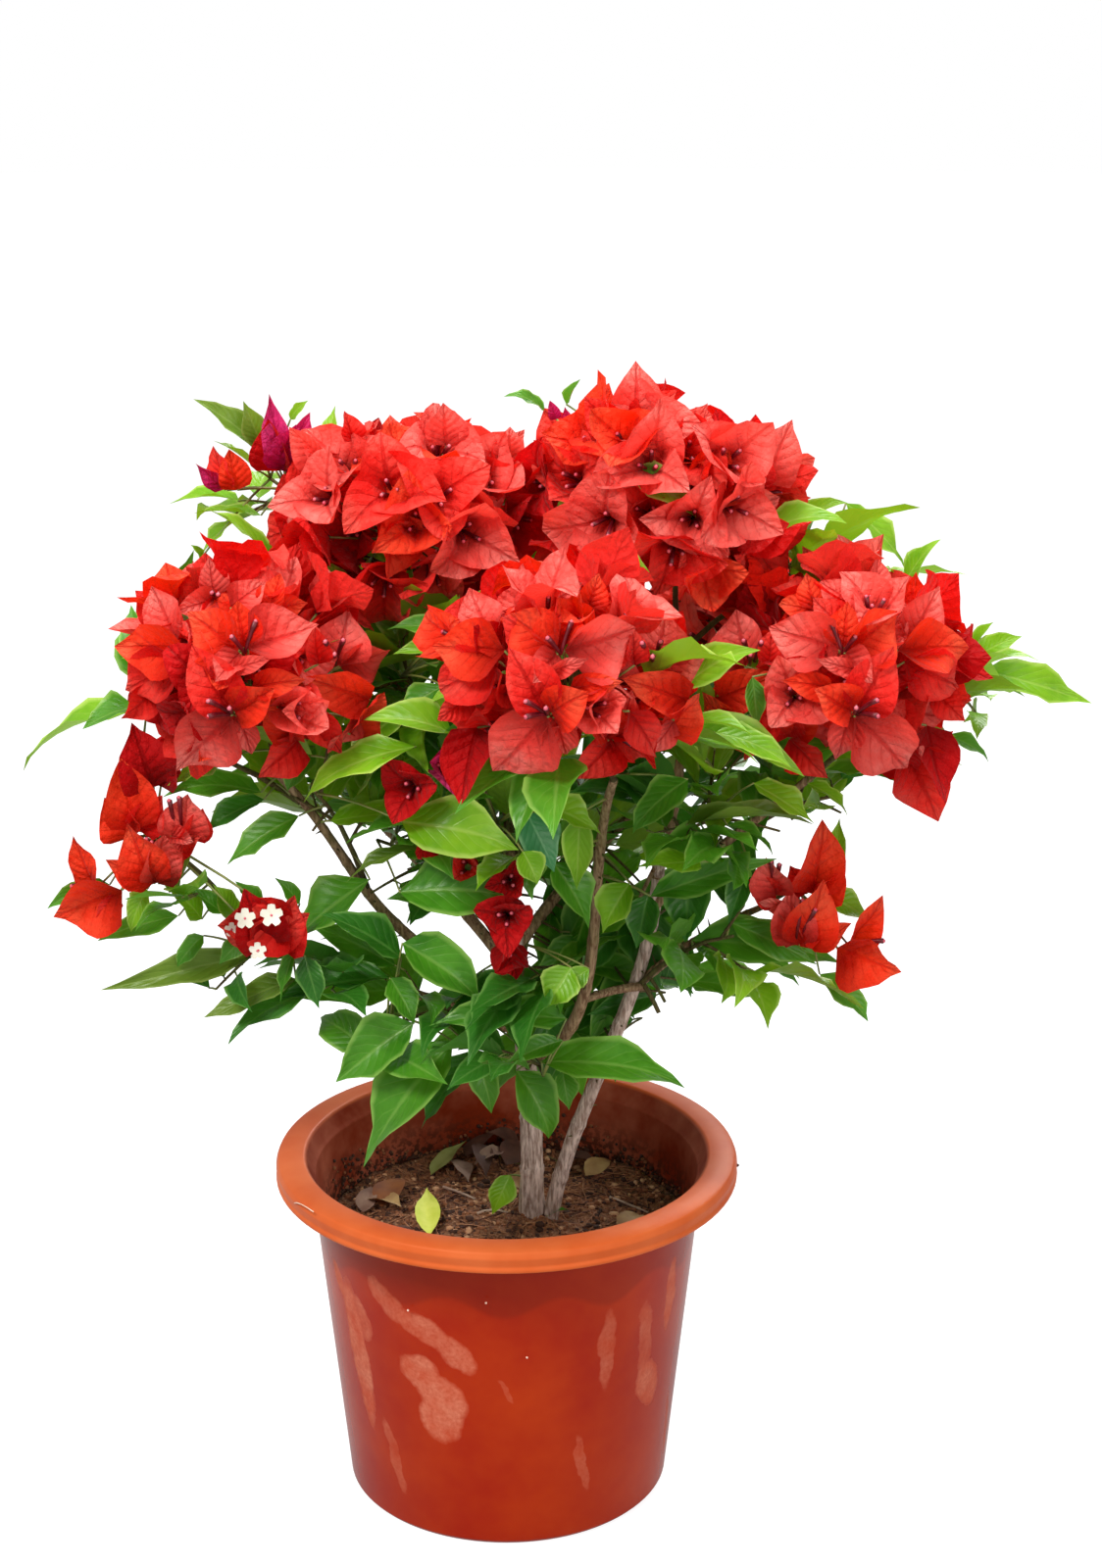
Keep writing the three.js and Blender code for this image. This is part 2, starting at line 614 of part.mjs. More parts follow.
// The pot: a tapered bucket with a rolled lip that hangs over its wall.
function potSolid() {
  const top = POT.height;
  const under = top - POT.lipHeight;
  const inner = POT.mouthRadius - 3.5;
  const behind = POT.rimRadius - POT.lipWall;
  const profile = [
    [0, 0], [POT.footRadius - 3, 0], [POT.footRadius, 3],
    [POT.bodyTopRadius, top - 6], [behind - 1, top - 5], [behind, under],
    [POT.rimRadius - 0.3, under], [POT.rimRadius, under + 2.4], [POT.rimRadius - 1.2, under + 3.6],
    [POT.rimRadius - 0.2, top - 4.6], [POT.rimRadius - 1.6, top - 1.6], [POT.rimRadius - 6, top],
    [POT.mouthRadius + 1.5, top - 0.4], [POT.mouthRadius - 0.4, top - 2.4], [inner, top - 9],
    [inner - 2.5, top - 12],
    [potInside(POT.floor), POT.floor], [0, POT.floor],
  ];
  return solid(latheUpright(profile));
}

// Inside radius of the pot's wall at a height.
function potInside(height) {
  const share = height / (POT.height - 12);
  return THREE.MathUtils.lerp(POT.footRadius - POT.wall, POT.mouthRadius - 6.5, share);
}

// A profile of [radius, height] pairs turned round the Z axis.
function latheUpright(profile) {
  const outline = profile.map(([radius, height]) => new THREE.Vector2(radius, height));
  return new THREE.LatheGeometry(outline, POT.facets).rotateX(Math.PI / 2);
}

// Soil fills the pot to a low mound, which is flat where the stems stand.
function soilSolid() {
  const bottom = POT.floor + CLEARANCE;
  const edge = POT.height - SOIL.depthAtWall;
  const profile = [
    [0, bottom], [potInside(bottom) - CLEARANCE, bottom], [potInside(edge) - CLEARANCE, edge],
    [80, edge + 3.5], [SOIL.flatRadius, SOIL_TOP - CLEARANCE], [0, SOIL_TOP - CLEARANCE],
  ];
  return solid(latheUpright(profile));
}

// Limbs are cut clear of those that come before them, and masses of every limb. The two stems are
// also cut flat where they meet the soil.
const swollen = new Map(LIMBS.map((limb) => [limb.name, limbSolid(limb, CLEARANCE)]));
const limbSolids = LIMBS.map((limb, index) => {
  const earlier = LIMBS.slice(0, index).map((other) => swollen.get(other.name));
  const whole = limbSolid(limb).trimByPlane([0, 0, 1], SOIL_TOP);
  return [limb.name, earlier.length ? largest(whole.subtract(wasm.Manifold.union(earlier))) : whole];
});
for (const mass of masses) {
  const placed = [sheetOfLine(mass.shoot.getPoints(SHOOT.steps))];
  mass.grownFlowers = growFlowers(mass, placed);
  mass.grownLeaves = growLeaves(mass, placed);
}
const allLimbs = wasm.Manifold.union([...swollen.values()]);
const allShoots = masses.map((mass) => ({
  owner: mass.name,
  form: taperedTube(mass.shoot, shootRadius(CLEARANCE), SHOOT.sides, SHOOT.steps, CLEARANCE),
}));

// A named mesh of a solid.
function mesh(name, form, finish) {
  const { vertProperties, triVerts } = form.getMesh();
  const geometry = new THREE.BufferGeometry();
  geometry.setAttribute('position', new THREE.BufferAttribute(new Float32Array(vertProperties), 3));
  geometry.setIndex(new THREE.BufferAttribute(new Uint32Array(triVerts), 1));
  geometry.computeVertexNormals();
  const made = new THREE.Mesh(geometry, new THREE.MeshStandardMaterial({ metalness: 0, ...COLOURS[finish] }));
  made.name = name;
  return made;
}

const plant = new THREE.Group();
plant.add(mesh('pot', potSolid(), 'pot'), mesh('soil', soilSolid(), 'soil'));
for (const [name, form] of limbSolids) {
  plant.add(mesh(name, form, 'bark'));
}
for (const mass of masses) {
  plant.add(mesh(mass.name, massSolid(mass, allLimbs, allShoots), mass.isHead ? 'bracts' : 'leaves'));
}

export default plant;
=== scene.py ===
# %% [markdown]
# A potted bougainvillea bush, dressed round its imported model.
# The imported model gives every size and place: a tapered pot, its soil, two stems, ten boughs and
# the masses of foliage. Here each of them is replaced by a finer piece in the same place, in metres.
# Lengths in the tables are in millimetres, because that is how a plant and a pot are measured.

# %% Load the imported model and keep each part where it stands
import math

import bmesh
import bpy
import numpy as np
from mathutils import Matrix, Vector, noise
from mathutils.bvhtree import BVHTree


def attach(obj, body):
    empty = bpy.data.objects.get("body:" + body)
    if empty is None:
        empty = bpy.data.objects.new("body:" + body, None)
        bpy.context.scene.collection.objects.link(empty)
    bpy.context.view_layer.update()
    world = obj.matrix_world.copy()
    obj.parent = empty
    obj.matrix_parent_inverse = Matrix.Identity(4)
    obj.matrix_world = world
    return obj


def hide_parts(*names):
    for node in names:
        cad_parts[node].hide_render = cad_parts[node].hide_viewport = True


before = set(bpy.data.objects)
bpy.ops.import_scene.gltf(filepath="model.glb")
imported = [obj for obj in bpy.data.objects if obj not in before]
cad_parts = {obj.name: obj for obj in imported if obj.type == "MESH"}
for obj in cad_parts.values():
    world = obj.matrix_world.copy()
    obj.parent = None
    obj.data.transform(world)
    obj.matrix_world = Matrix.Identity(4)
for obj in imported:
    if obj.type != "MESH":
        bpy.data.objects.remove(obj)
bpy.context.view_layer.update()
MM = 0.001

# %% [markdown]
# The camera stands where the photograph was taken: about 1.7 m in front of the pot and looking
# down on it by 17 degrees. Its place was worked out from the ellipse of the pot's rim, so the pot
# and the crown fall in the picture where they do in the photograph.


# %% The camera
def put_in_scene(name, data):
    """An object that shows its data, linked into the scene."""
    made = bpy.data.objects.new(name, data)
    bpy.context.scene.collection.objects.link(made)
    return made


camera = put_in_scene("camera", bpy.data.cameras.new("camera"))
camera.data.lens = 66.467
camera.location = (0.028717, -1.72755, 1.02093)
camera.rotation_euler = (math.radians(72.558), 0, 0)
bpy.context.scene.camera = camera
print("camera at", tuple(camera.location))

# %% [markdown]
# Studio light for a plant is broad and soft, like an overcast sky with a bright side. One large
# lamp stands high on the left as the key, one hangs over the crown, one fills the shaded side, and
# one behind the crown shines through the thin bracts and leaves. The surround looks white to the
# eye but lights the plant at half that strength. The film look is set to plain contrast, because
# the default one greys strong reds.


# %% Lamps and a pale surround
def soft_lamp(name, place, aim, size, power):
    """A square area lamp that points at a place."""
    lamp = put_in_scene(name, bpy.data.lights.new(name, "AREA"))
    lamp.data.size = size
    lamp.data.energy = power
    lamp.location = place
    lamp.rotation_euler = (Vector(aim) - Vector(place)).to_track_quat("-Z", "Y").to_euler()


soft_lamp("key_lamp", (-1.1, -1.3, 2.2), (0, 0, 0.45), 0.8, 50)
soft_lamp("top_lamp", (0.2, 0.1, 2.3), (0, 0, 0.4), 1.0, 36)
soft_lamp("fill_lamp", (1.3, -1.9, 1.0), (0, 0, 0.35), 1.2, 18)
soft_lamp("back_lamp", (0.7, 1.8, 1.5), (0, 0, 0.5), 1.0, 22)

world = bpy.data.worlds.new("pale_surround")
bpy.context.scene.world = world
world.use_nodes = True
world.node_tree.nodes.clear()
LAMP_SHARE = 0.5
ray = world.node_tree.nodes.new("ShaderNodeLightPath")
strength = world.node_tree.nodes.new("ShaderNodeMix")
strength.inputs[2].default_value = LAMP_SHARE
strength.inputs[3].default_value = 1.0
sky = world.node_tree.nodes.new("ShaderNodeBackground")
sky.inputs["Color"].default_value = (1, 1, 1, 1)
sky_out = world.node_tree.nodes.new("ShaderNodeOutputWorld")
world.node_tree.links.new(ray.outputs["Is Camera Ray"], strength.inputs[0])
world.node_tree.links.new(strength.outputs[0], sky.inputs["Strength"])
world.node_tree.links.new(sky.outputs[0], sky_out.inputs[0])
bpy.context.scene.view_settings.view_transform = "Standard"

# %% [markdown]
# Every finish is a node tree. Three effects are used many times, so each is a node group that is
# built once: mottling, smudges, which on the pot are partly dust and partly painted reflection, and
# leaf veins. A group puts out only masks and heights, and the shader that uses them stays in its own
# material.


# %% Short ways to place nodes
def colour(red, green, blue):
    """A colour as seen on a screen, from 0 to 255, turned into the linear one that shaders use."""
    share = [c / 255 for c in (red, green, blue)]
    return (*[c / 12.92 if c <= 0.04045 else ((c + 0.055) / 1.055) ** 2.4 for c in share], 1.0)


def place_node(tree, kind, inputs=None, **settings):
    """Adds a node, sets it up, and gives each input a value or the socket that feeds it."""
    made = tree.nodes.new(kind)
    for name, value in settings.items():
        setattr(made, name, value)
    for name, value in (inputs or {}).items():
        if isinstance(value, bpy.types.NodeSocket):
            tree.links.new(value, made.inputs[name])
        else:
            made.inputs[name].default_value = value
    return made


def arithmetic(tree, operation, first, second=0.0):
    """One step of arithmetic on a mask."""
    return place_node(tree, "ShaderNodeMath", {0: first, 1: second}, operation=operation).outputs[0]


def times(tree, first, second):
    """The product of two masks, or of a mask and a number."""
    return arithmetic(tree, "MULTIPLY", first, second)


def ramp(tree, value, low, high, start=0.0, end=1.0):
    """Maps low to start and high to end, and holds there."""
    inputs = {"Value": value, "From Min": low, "From Max": high, "To Min": start, "To Max": end}
    return place_node(tree, "ShaderNodeMapRange", inputs).outputs[0]


def blend_colours(tree, mask, first, second):
    """The first colour where the mask is 0 and the second where it is 1."""
    return place_node(tree, "ShaderNodeMix", {0: mask, 6: first, 7: second}, data_type="RGBA").outputs[2]


def new_group(name, inputs, outputs):
    """An empty node group with named sockets."""
    tree = bpy.data.node_groups.new(name, "ShaderNodeTree")
    for socket, kind in inputs.items():
        tree.interface.new_socket(name=socket, in_out="INPUT", socket_type=kind)
    for socket in outputs:
        tree.interface.new_socket(name=socket, in_out="OUTPUT", socket_type="NodeSocketFloat")
    return tree, tree.nodes.new("NodeGroupInput").outputs, tree.nodes.new("NodeGroupOutput")


def use_group(tree, group, inputs):
    """Places a group, feeds it, and returns its outputs."""
    return place_node(tree, "ShaderNodeGroup", inputs, node_tree=group).outputs


# %% Mottling, smudges that are partly painted reflection, and veins
mottle, given, result = new_group(
    "mottling", {"Vector": "NodeSocketVector", "Scale": "NodeSocketFloat", "Low": "NodeSocketFloat",
                 "High": "NodeSocketFloat"}, ["Mask"])
grain = place_node(mottle, "ShaderNodeTexNoise", {"Vector": given["Vector"], "Scale": given["Scale"],
                                                  "Detail": 4.0, "Roughness": 0.6})
mottle.links.new(ramp(mottle, grain.outputs["Fac"], given["Low"], given["High"]), result.inputs[0])


def mottled(tree, vector, scale, low, high):
    """The mask of the mottling group at a scale, which is 0 at the low limit and 1 at the high one."""
    return use_group(tree, mottle, {"Vector": vector, "Scale": scale, "Low": low, "High": high})["Mask"]


# An ellipse mask, used for the pot's smudges, which are partly dust and partly painted reflection.
smudge_and_reflection, given, result = new_group(
    "smudge_and_reflection", {"Vector": "NodeSocketVector", "Middle": "NodeSocketVector", "Size": "NodeSocketVector",
               "Tilt": "NodeSocketFloat"}, ["Mask"])
shifted = place_node(smudge_and_reflection, "ShaderNodeVectorMath", {0: given["Vector"], 1: given["Middle"]},
                     operation="SUBTRACT").outputs[0]
turned = place_node(smudge_and_reflection, "ShaderNodeVectorRotate", {"Vector": shifted, "Angle": given["Tilt"]},
                    rotation_type="Z_AXIS").outputs[0]
fitted = place_node(smudge_and_reflection, "ShaderNodeVectorMath", {0: turned, 1: given["Size"]},
                    operation="DIVIDE").outputs[0]
away = place_node(smudge_and_reflection, "ShaderNodeVectorMath", {0: fitted}, operation="LENGTH").outputs["Value"]
smudge_and_reflection.links.new(ramp(smudge_and_reflection, away, 0.86, 1.12, 1.0, 0.0), result.inputs[0])

veins, given, result = new_group(
    "leaf_veins", {"UV": "NodeSocketVector", "Side veins": "NodeSocketFloat"}, ["Rib", "Margin", "Height"])
axes = place_node(veins, "ShaderNodeSeparateXYZ", {0: given["UV"]}).outputs
centred = place_node(veins, "ShaderNodeMath", {0: axes[0], 1: 2.0, 2: -1.0},
                     operation="MULTIPLY_ADD").outputs[0]
across = arithmetic(veins, "ABSOLUTE", centred)
slant = arithmetic(veins, "SUBTRACT", axes[1], times(veins, across, 0.3))
beat = arithmetic(veins, "SINE", times(veins, slant, given["Side veins"]))
side = times(veins, ramp(veins, beat, 0.86, 1.0), ramp(veins, across, 0.25, 0.95, 0.45, 0.1))
rib = arithmetic(veins, "MAXIMUM", ramp(veins, across, 0.03, 0.11, 1.0, 0.0), side)
veins.links.new(rib, result.inputs["Rib"])
veins.links.new(ramp(veins, across, 0.78, 0.94), result.inputs["Margin"])
puffed = arithmetic(veins, "SUBTRACT", ramp(veins, beat, -1.0, 1.0, 0.7, 0.2), rib)
veins.links.new(puffed, result.inputs["Height"])
print("node groups:", [g.name for g in bpy.data.node_groups])


# %% [markdown]
# Most finishes start alike: a material with one Principled shader, a coordinate that is fixed to
# the piece, and often a bump. This helper gives those, so each finish below is only its own part.


# %% A bare finish
def bare_finish(name, **sockets):
    """A material with its tree, its Principled shader and its coordinates on the piece."""
    material = bpy.data.materials.new(name)
    material.use_nodes = True
    tree = material.node_tree
    shader = tree.nodes["Principled BSDF"]
    for socket, value in sockets.items():
        shader.inputs[socket.replace("_", " ")].default_value = value
    place = tree.nodes.new("ShaderNodeTexCoord").outputs
    return material, tree, shader, place


def raise_surface(tree, shader, height, distance, strength=1.0):
    """Feeds a height to the shader as a bump."""
    bump = place_node(tree, "ShaderNodeBump", {"Height": height, "Distance": distance, "Strength": strength})
    tree.links.new(bump.outputs[0], shader.inputs["Normal"])


def stretched(tree, place, scale):
    """Coordinates with each axis scaled, which draws a pattern out along the smaller ones."""
    return place_node(tree, "ShaderNodeMapping", {"Vector": place["Object"], "Scale": scale}).outputs[0]


# %% [markdown]
# The floor is only there to stand on. A wide disc glows white to the eye, as a lit studio floor
# does, but is dimmer to the pot above it, so that the pot's gloss isn't washed out from below.

# %% The floor
floor = put_in_scene("floor", bpy.data.meshes.new("floor"))
shape = bmesh.new()
bmesh.ops.create_circle(shape, cap_ends=True, segments=96, radius=9.0)
shape.to_mesh(floor.data)
shape.free()
finish, tree, shader, place = bare_finish("floor_paint", Roughness=0.8, Emission_Color=colour(255, 255, 255))
mask = mottled(tree, place["Object"], 3.0, 0.4, 0.6)
grey = blend_colours(tree, mask, colour(134, 134, 134), colour(138, 138, 138))
tree.links.new(grey, shader.inputs["Base Color"])
eye_ray = tree.nodes.new("ShaderNodeLightPath").outputs["Is Camera Ray"]
tree.links.new(ramp(tree, eye_ray, 0.0, 1.0, 0.2, 0.88), shader.inputs["Emission Strength"])
floor.data.materials.append(finish)
print("floor:", [round(side, 1) for side in floor.dimensions])

# %% [markdown]
# The pot is injection moulded in one shot: a tapered wall of 3.5 mm with a wide lip that rolls
# over and hangs down, so that a hand can lift it. It is round, so its section is drawn once and
# spun. The section's corners are then bevelled, because moulded plastic has no sharp edge, and a
# bright line runs along each one.

# %% The pot
POT_SECTION = [
    (0, 0), (102, 0), (105, 3), (113, 80), (120.4, 150), (125.6, 200), (127.2, 215), (131, 222),
    (146.4, 223.4), (147.4, 215), (149.7, 215), (150, 217.4), (148.9, 218.8), (149.9, 224.4),
    (148.4, 228.2), (144, 230), (137, 230.2), (131.5, 229.6), (129.6, 227.6), (126.6, 221), (124, 218),
    (112.6, 110), (102, 5), (0, 5),
]


def pot_inside(height):
    """Inside radius of the pot's wall at a height, in millimetres."""
    return 101.5 + 22 * height / 218


def spun(name, section, steps):
    """A closed form of revolution from a section of radius and height pairs, in millimetres."""
    shape = bmesh.new()
    line = [shape.verts.new((radius * MM, 0, height * MM)) for radius, height in section]
    edges = [shape.edges.new(pair) for pair in zip(line, line[1:])]
    bmesh.ops.spin(shape, geom=line + edges, cent=(0, 0, 0), axis=(0, 0, 1), angle=2 * math.pi, steps=steps,
                   use_merge=True)
    bmesh.ops.remove_doubles(shape, verts=shape.verts, dist=1e-6)
    bmesh.ops.recalc_face_normals(shape, faces=shape.faces)
    piece = put_in_scene(name, bpy.data.meshes.new(name))
    shape.to_mesh(piece.data)
    shape.free()
    piece.data.shade_smooth()
    return piece


pot = spun("pot_shell", POT_SECTION, 96)
rounding = pot.modifiers.new("rounded_edges", "BEVEL")
rounding.width = 0.9 * MM
rounding.segments = 3
rounding.angle_limit = math.radians(25)
pot.modifiers.new("even_shading", "WEIGHTED_NORMAL")
print("pot:", len(pot.data.polygons), "faces before its edges are rounded")

# %% [markdown]
# The plastic is glossy and a deep red-orange. Dull pinkish smudges run down the wall. They are partly
# dried splashes and partly painted reflections of the surroundings. A darker band with a wavy lower
# edge under the lip is a painted shadow of the lip. The lip has faded to a lighter orange, and the
# inside is dusty down to a dark tide line where wet soil touches it. The smudges are ellipses on the
# unrolled wall, which is a map of the arc round the pot and the height, and noise bends their edges
# by up to 5.5 mm. A row gives a smudge's arc, height, half length, half width, tilt in degrees and
# weight. Those on the near side lie where the photograph shows them. A painted value tells the inside
# from the outside.

# %% The pot's plastic
MAP_RADIUS = 0.12
BEND = 5.5
# Rows of smudges, each partly dust and partly painted reflection of the surroundings.
SMUDGES_AND_REFLECTIONS = [
    (-78, 170, 18, 9, -45, 0.7), (-54, 158, 19, 9, -20, 0.8), (-32, 143, 18, 9, -46, 0.85),
    (-57, 124, 14, 12, -25, 0.95), (-42, 109, 19, 13, -35, 1.0), (-43, 92, 17, 14, -80, 1.0),
    (-111, 120, 50, 10, -83, 1.0), (-127, 166, 14, 5, -60, 0.8), (-104, 148, 16, 8, -70, 0.7),
    (68, 138, 28, 6, -88, 0.55), (101, 134, 28, 7, -86, 0.6), (109, 98, 18, 11, -70, 0.85),
    (126, 156, 24, 6, -88, 0.85),
    (2, 116, 10, 2, -60, 0.35), (190, 128, 34, 4, -82, 0.5), (246, 150, 20, 4, -60, 0.45),
    (262, 96, 34, 5, -85, 0.5), (322, 142, 22, 4, -70, 0.45), (-176, 134, 32, 5, -80, 0.5),
    (-226, 108, 24, 5, -60, 0.45), (-292, 146, 24, 4, -75, 0.5), (-346, 88, 28, 5, -80, 0.45),
    (-84, 52, 26, 5, -75, 0.5), (54, 56, 22, 4, -75, 0.45), (150, 48, 26, 4, -82, 0.45),
]


def is_inside(x, y, z):
    """1 for a place on the pot's inner wall or on the inner slope of its lip, and 0 for others."""
    widest = pot_inside(z / MM) + 1.5
    if z > 219 * MM:
        widest = max(widest, 130.4)
    return float(3 * MM < z < 228.4 * MM and math.hypot(x, y) < widest * MM)


inner_wall = pot.data.attributes.new("inner_wall", "FLOAT", "POINT")
inner_wall.data.foreach_set("value", [is_inside(*corner.co) for corner in pot.data.vertices])
finish, tree, shader, place = bare_finish("pot_plastic", Specular_IOR_Level=0.2, Coat_Roughness=0.1,
                                          Specular_Tint=(1.0, 0.5, 0.3, 1.0))
axes = place_node(tree, "ShaderNodeSeparateXYZ", {0: place["Object"]}).outputs
height = axes["Z"]
turn = arithmetic(tree, "ARCTAN2", axes["X"], times(tree, axes["Y"], -1.0))
even_map = place_node(tree, "ShaderNodeCombineXYZ", {0: times(tree, turn, MAP_RADIUS), 1: height}).outputs[0]
bend = place_node(tree, "ShaderNodeTexNoise", {"Vector": place["Object"], "Scale": 55.0, "Detail": 3.0})
bent_map = place_node(tree, "ShaderNodeVectorMath",
                      {0: bend.outputs["Color"], 1: (2 * BEND * MM, 2 * BEND * MM, 0.0), 2: even_map},
                      operation="MULTIPLY_ADD").outputs[0]
# The smudges: partly dust left by dried splashes, partly painted reflections of the surroundings on the
# glossy wall.
dust_and_reflection = 0.0
for arc, level, half_long, half_wide, tilt, weight in SMUDGES_AND_REFLECTIONS:
    mask = use_group(tree, smudge_and_reflection, {
        "Vector": bent_map, "Middle": ((arc + BEND) * MM, (level + BEND) * MM, 0.0),
        "Size": (half_long * MM, half_wide * MM, 1.0), "Tilt": math.radians(-tilt)})["Mask"]
    dust_and_reflection = arithmetic(tree, "MAXIMUM", times(tree, mask, weight), dust_and_reflection)
speckle = mottled(tree, place["Object"], 420.0, 0.3, 0.66)
dust_and_reflection = times(tree, dust_and_reflection, ramp(tree, speckle, 0.0, 1.0, 0.5, 1.0))
cloud = mottled(tree, place["Object"], 14.0, 0.35, 0.7)
wall_colour = blend_colours(tree, cloud, colour(162, 28, 0), colour(180, 50, 2))
# Painted shadow of the lip: a darker band under it whose lower edge waves round the pot.
lip_shadow_wave = times(tree, arithmetic(tree, "COSINE", times(tree, turn, 11.0)), 0.006)
lip_shadow = ramp(tree, arithmetic(tree, "ADD", height, lip_shadow_wave), 0.175, 0.179)
wall_colour = blend_colours(tree, times(tree, lip_shadow, 0.4), wall_colour, colour(116, 22, 6))
# The smudges' pinkish colour, partly dust and partly painted reflection.
cream = mottled(tree, place["Object"], 60.0, 0.3, 0.7)
dust_and_reflection_colour = blend_colours(tree, cream, colour(206, 94, 66), colour(226, 142, 112))
wall_colour = blend_colours(tree, times(tree, dust_and_reflection, 0.78), wall_colour, dust_and_reflection_colour)
lip_colour = blend_colours(tree, cloud, colour(202, 86, 36), colour(216, 108, 58))
outside = blend_colours(tree, ramp(tree, height, 0.2125, 0.2150), wall_colour, lip_colour)
dust = mottled(tree, place["Object"], 24.0, 0.35, 0.68)
inside = blend_colours(tree, dust, colour(126, 38, 12), colour(168, 88, 64))
splash = mottled(tree, place["Object"], 240.0, 0.46, 0.54)
tide = times(tree, splash, ramp(tree, height, 0.205, 0.178))
inside = blend_colours(tree, tide, inside, colour(54, 28, 20))
where = place_node(tree, "ShaderNodeAttribute", attribute_name="inner_wall").outputs["Fac"]
tree.links.new(blend_colours(tree, where, outside, inside), shader.inputs["Base Color"])
satin = ramp(tree, dust_and_reflection, 0.0, 0.7, 0.2, 0.55)
satin = arithmetic(tree, "MAXIMUM", satin, ramp(tree, height, 0.213, 0.2145, 0.0, 0.42))
satin = arithmetic(tree, "MAXIMUM", satin, ramp(tree, where, 0.0, 1.0, 0.0, 0.66))
tree.links.new(satin, shader.inputs["Roughness"])
tree.links.new(ramp(tree, satin, 0.2, 0.42, 0.2, 0.0), shader.inputs["Coat Weight"])
raise_surface(tree, shader, cloud, 0.0006, 0.35)
pot.data.materials.append(finish)
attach(pot, "root")
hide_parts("pot")
print("smudges on the pot:", len(SMUDGES_AND_REFLECTIONS))

# %% [markdown]
# Potting soil is loose and fibrous. Its body is a closed form that is spun like the pot and then
# roughened point by point, and crumbs and fibres lie on it as many small joined forms.

# %% The body of the soil
SOIL_EDGE = pot_inside(170) - 0.3
SOIL_SECTION = [(0, 5.3), (pot_inside(5.3) - 0.3, 5.3), (pot_inside(166) - 0.3, 166), (SOIL_EDGE, 170)]
RINGS = 44
SOIL_SECTION += [(SOIL_EDGE * (1 - n / RINGS), 170) for n in range(1, RINGS)] + [(0, 178)]
soil = spun("soil_body", SOIL_SECTION, 120)
HEAPS = ((-14, 96, 8, 500), (66, 70, 4, 500), (20, 8, 4, 420))


def soil_height(x, y):
    """Height of the soil's surface over a point, in millimetres."""
    away = min(math.hypot(x, y) / SOIL_EDGE, 1.0)
    mound = 170 + 8 * math.sin((1 - away) * math.pi / 2)
    lumps = noise.fractal(Vector((x, y, 3)) / 26, 0.8, 2.2, 4) * 3.4
    heap = 0.0
    for east, north, high, wide in HEAPS:
        heap += high * math.exp(-((x - east) ** 2 + (y - north) ** 2) / wide)
    bank = 6 * max(0.0, away - 0.82) / 0.18
    return mound + lumps + heap + bank


for corner in soil.data.vertices:
    if corner.co.z > 167 * MM:
        corner.co.z = soil_height(corner.co.x / MM, corner.co.y / MM) * MM
print("soil:", len(soil.data.polygons), "faces, from", round(min(v.co.z for v in soil.data.vertices), 4))

finish, tree, shader, place = bare_finish("moist_soil", Roughness=0.92)
lumps = mottled(tree, place["Object"], 130.0, 0.35, 0.68)
grains = mottled(tree, place["Object"], 620.0, 0.4, 0.62)
base = blend_colours(tree, lumps, colour(94, 44, 18), colour(184, 112, 64))
base = blend_colours(tree, times(tree, grains, 0.4), base, colour(214, 162, 124))
tree.links.new(base, shader.inputs["Base Color"])
raise_surface(tree, shader, arithmetic(tree, "ADD", lumps, times(tree, grains, 0.6)), 0.003)
soil.data.materials.append(finish)
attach(soil, "root")
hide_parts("soil")
print("soil painted in two grains:", finish.name)

# %% [markdown]
# A plant is many copies of a few forms: a blade for leaves and bracts, a rod for twigs, stalks and
# fibres, a crumb, and a star for the true flowers. Each is modelled once from one of the basic
# shapes. Every copy then moves the form's points to where it grows and bends them there, and the
# copies of a kind are joined into one mesh.


# %% The forms that are copied
class Form:
    """A small mesh whose points are moved for every copy."""

    def __init__(self, shape, flat_map=False):
        shape.verts.index_update()
        self.points = np.array([v.co[:] for v in shape.verts])
        self.faces = [[v.index for v in face.verts] for face in shape.faces]
        self.flat = self.points[:, :2] / 2 + 0.5 if flat_map else None
        shape.free()


def blade_form(columns, rows):
    """A strip of cells that runs from -1 to 1 across and along, and closes to a point at each end."""
    shape = bmesh.new()
    bmesh.ops.create_grid(shape, x_segments=columns, y_segments=rows, size=1)
    for corner in shape.verts:
        if abs(corner.co.y) > 0.99:
            corner.co.x = 0
    bmesh.ops.remove_doubles(shape, verts=shape.verts, dist=1e-4)
    return Form(shape, flat_map=True)


def rod_form(sides, rings):
    """A cylinder of radius 1 from 0 to 1 along Z, with rings between its ends."""
    shape = bmesh.new()
    bmesh.ops.create_cone(shape, cap_ends=True, segments=sides, radius1=1, radius2=1, depth=1)
    bmesh.ops.translate(shape, verts=shape.verts, vec=(0, 0, 0.5))
    long_edges = [e for e in shape.edges if abs(e.verts[0].co.z - e.verts[1].co.z) > 0.5]
    bmesh.ops.subdivide_edges(shape, edges=long_edges, cuts=rings - 1)
    return Form(shape)


def crumb_form(roughening):
    """A small ball of twenty faces, knocked out of round."""
    shape = bmesh.new()
    bmesh.ops.create_icosphere(shape, subdivisions=1, radius=1)
    for corner in shape.verts:
        corner.co *= 1 + roughening * noise.noise(corner.co * 3.1)
    return Form(shape)


def star_form():
    """A five-lobed star, cupped in the middle."""
    shape = bmesh.new()
    bmesh.ops.create_circle(shape, cap_ends=True, cap_tris=True, segments=20, radius=1)
    for number, corner in enumerate(sorted((v for v in shape.verts if v.co.length > 0.5),
                                           key=lambda v: math.atan2(v.co.y, v.co.x))):
        corner.co *= (0.62, 0.95, 0.97, 0.95)[number % 4]
        corner.co.z = 0.35 if number % 4 else 0.22
    return Form(shape)


BLADE = blade_form(6, 8)
ROD = rod_form(5, 4)
CRUMB = crumb_form(0.5)
STAR = star_form()
print("blade:", len(BLADE.faces), "faces, rod:", len(ROD.faces), "faces")


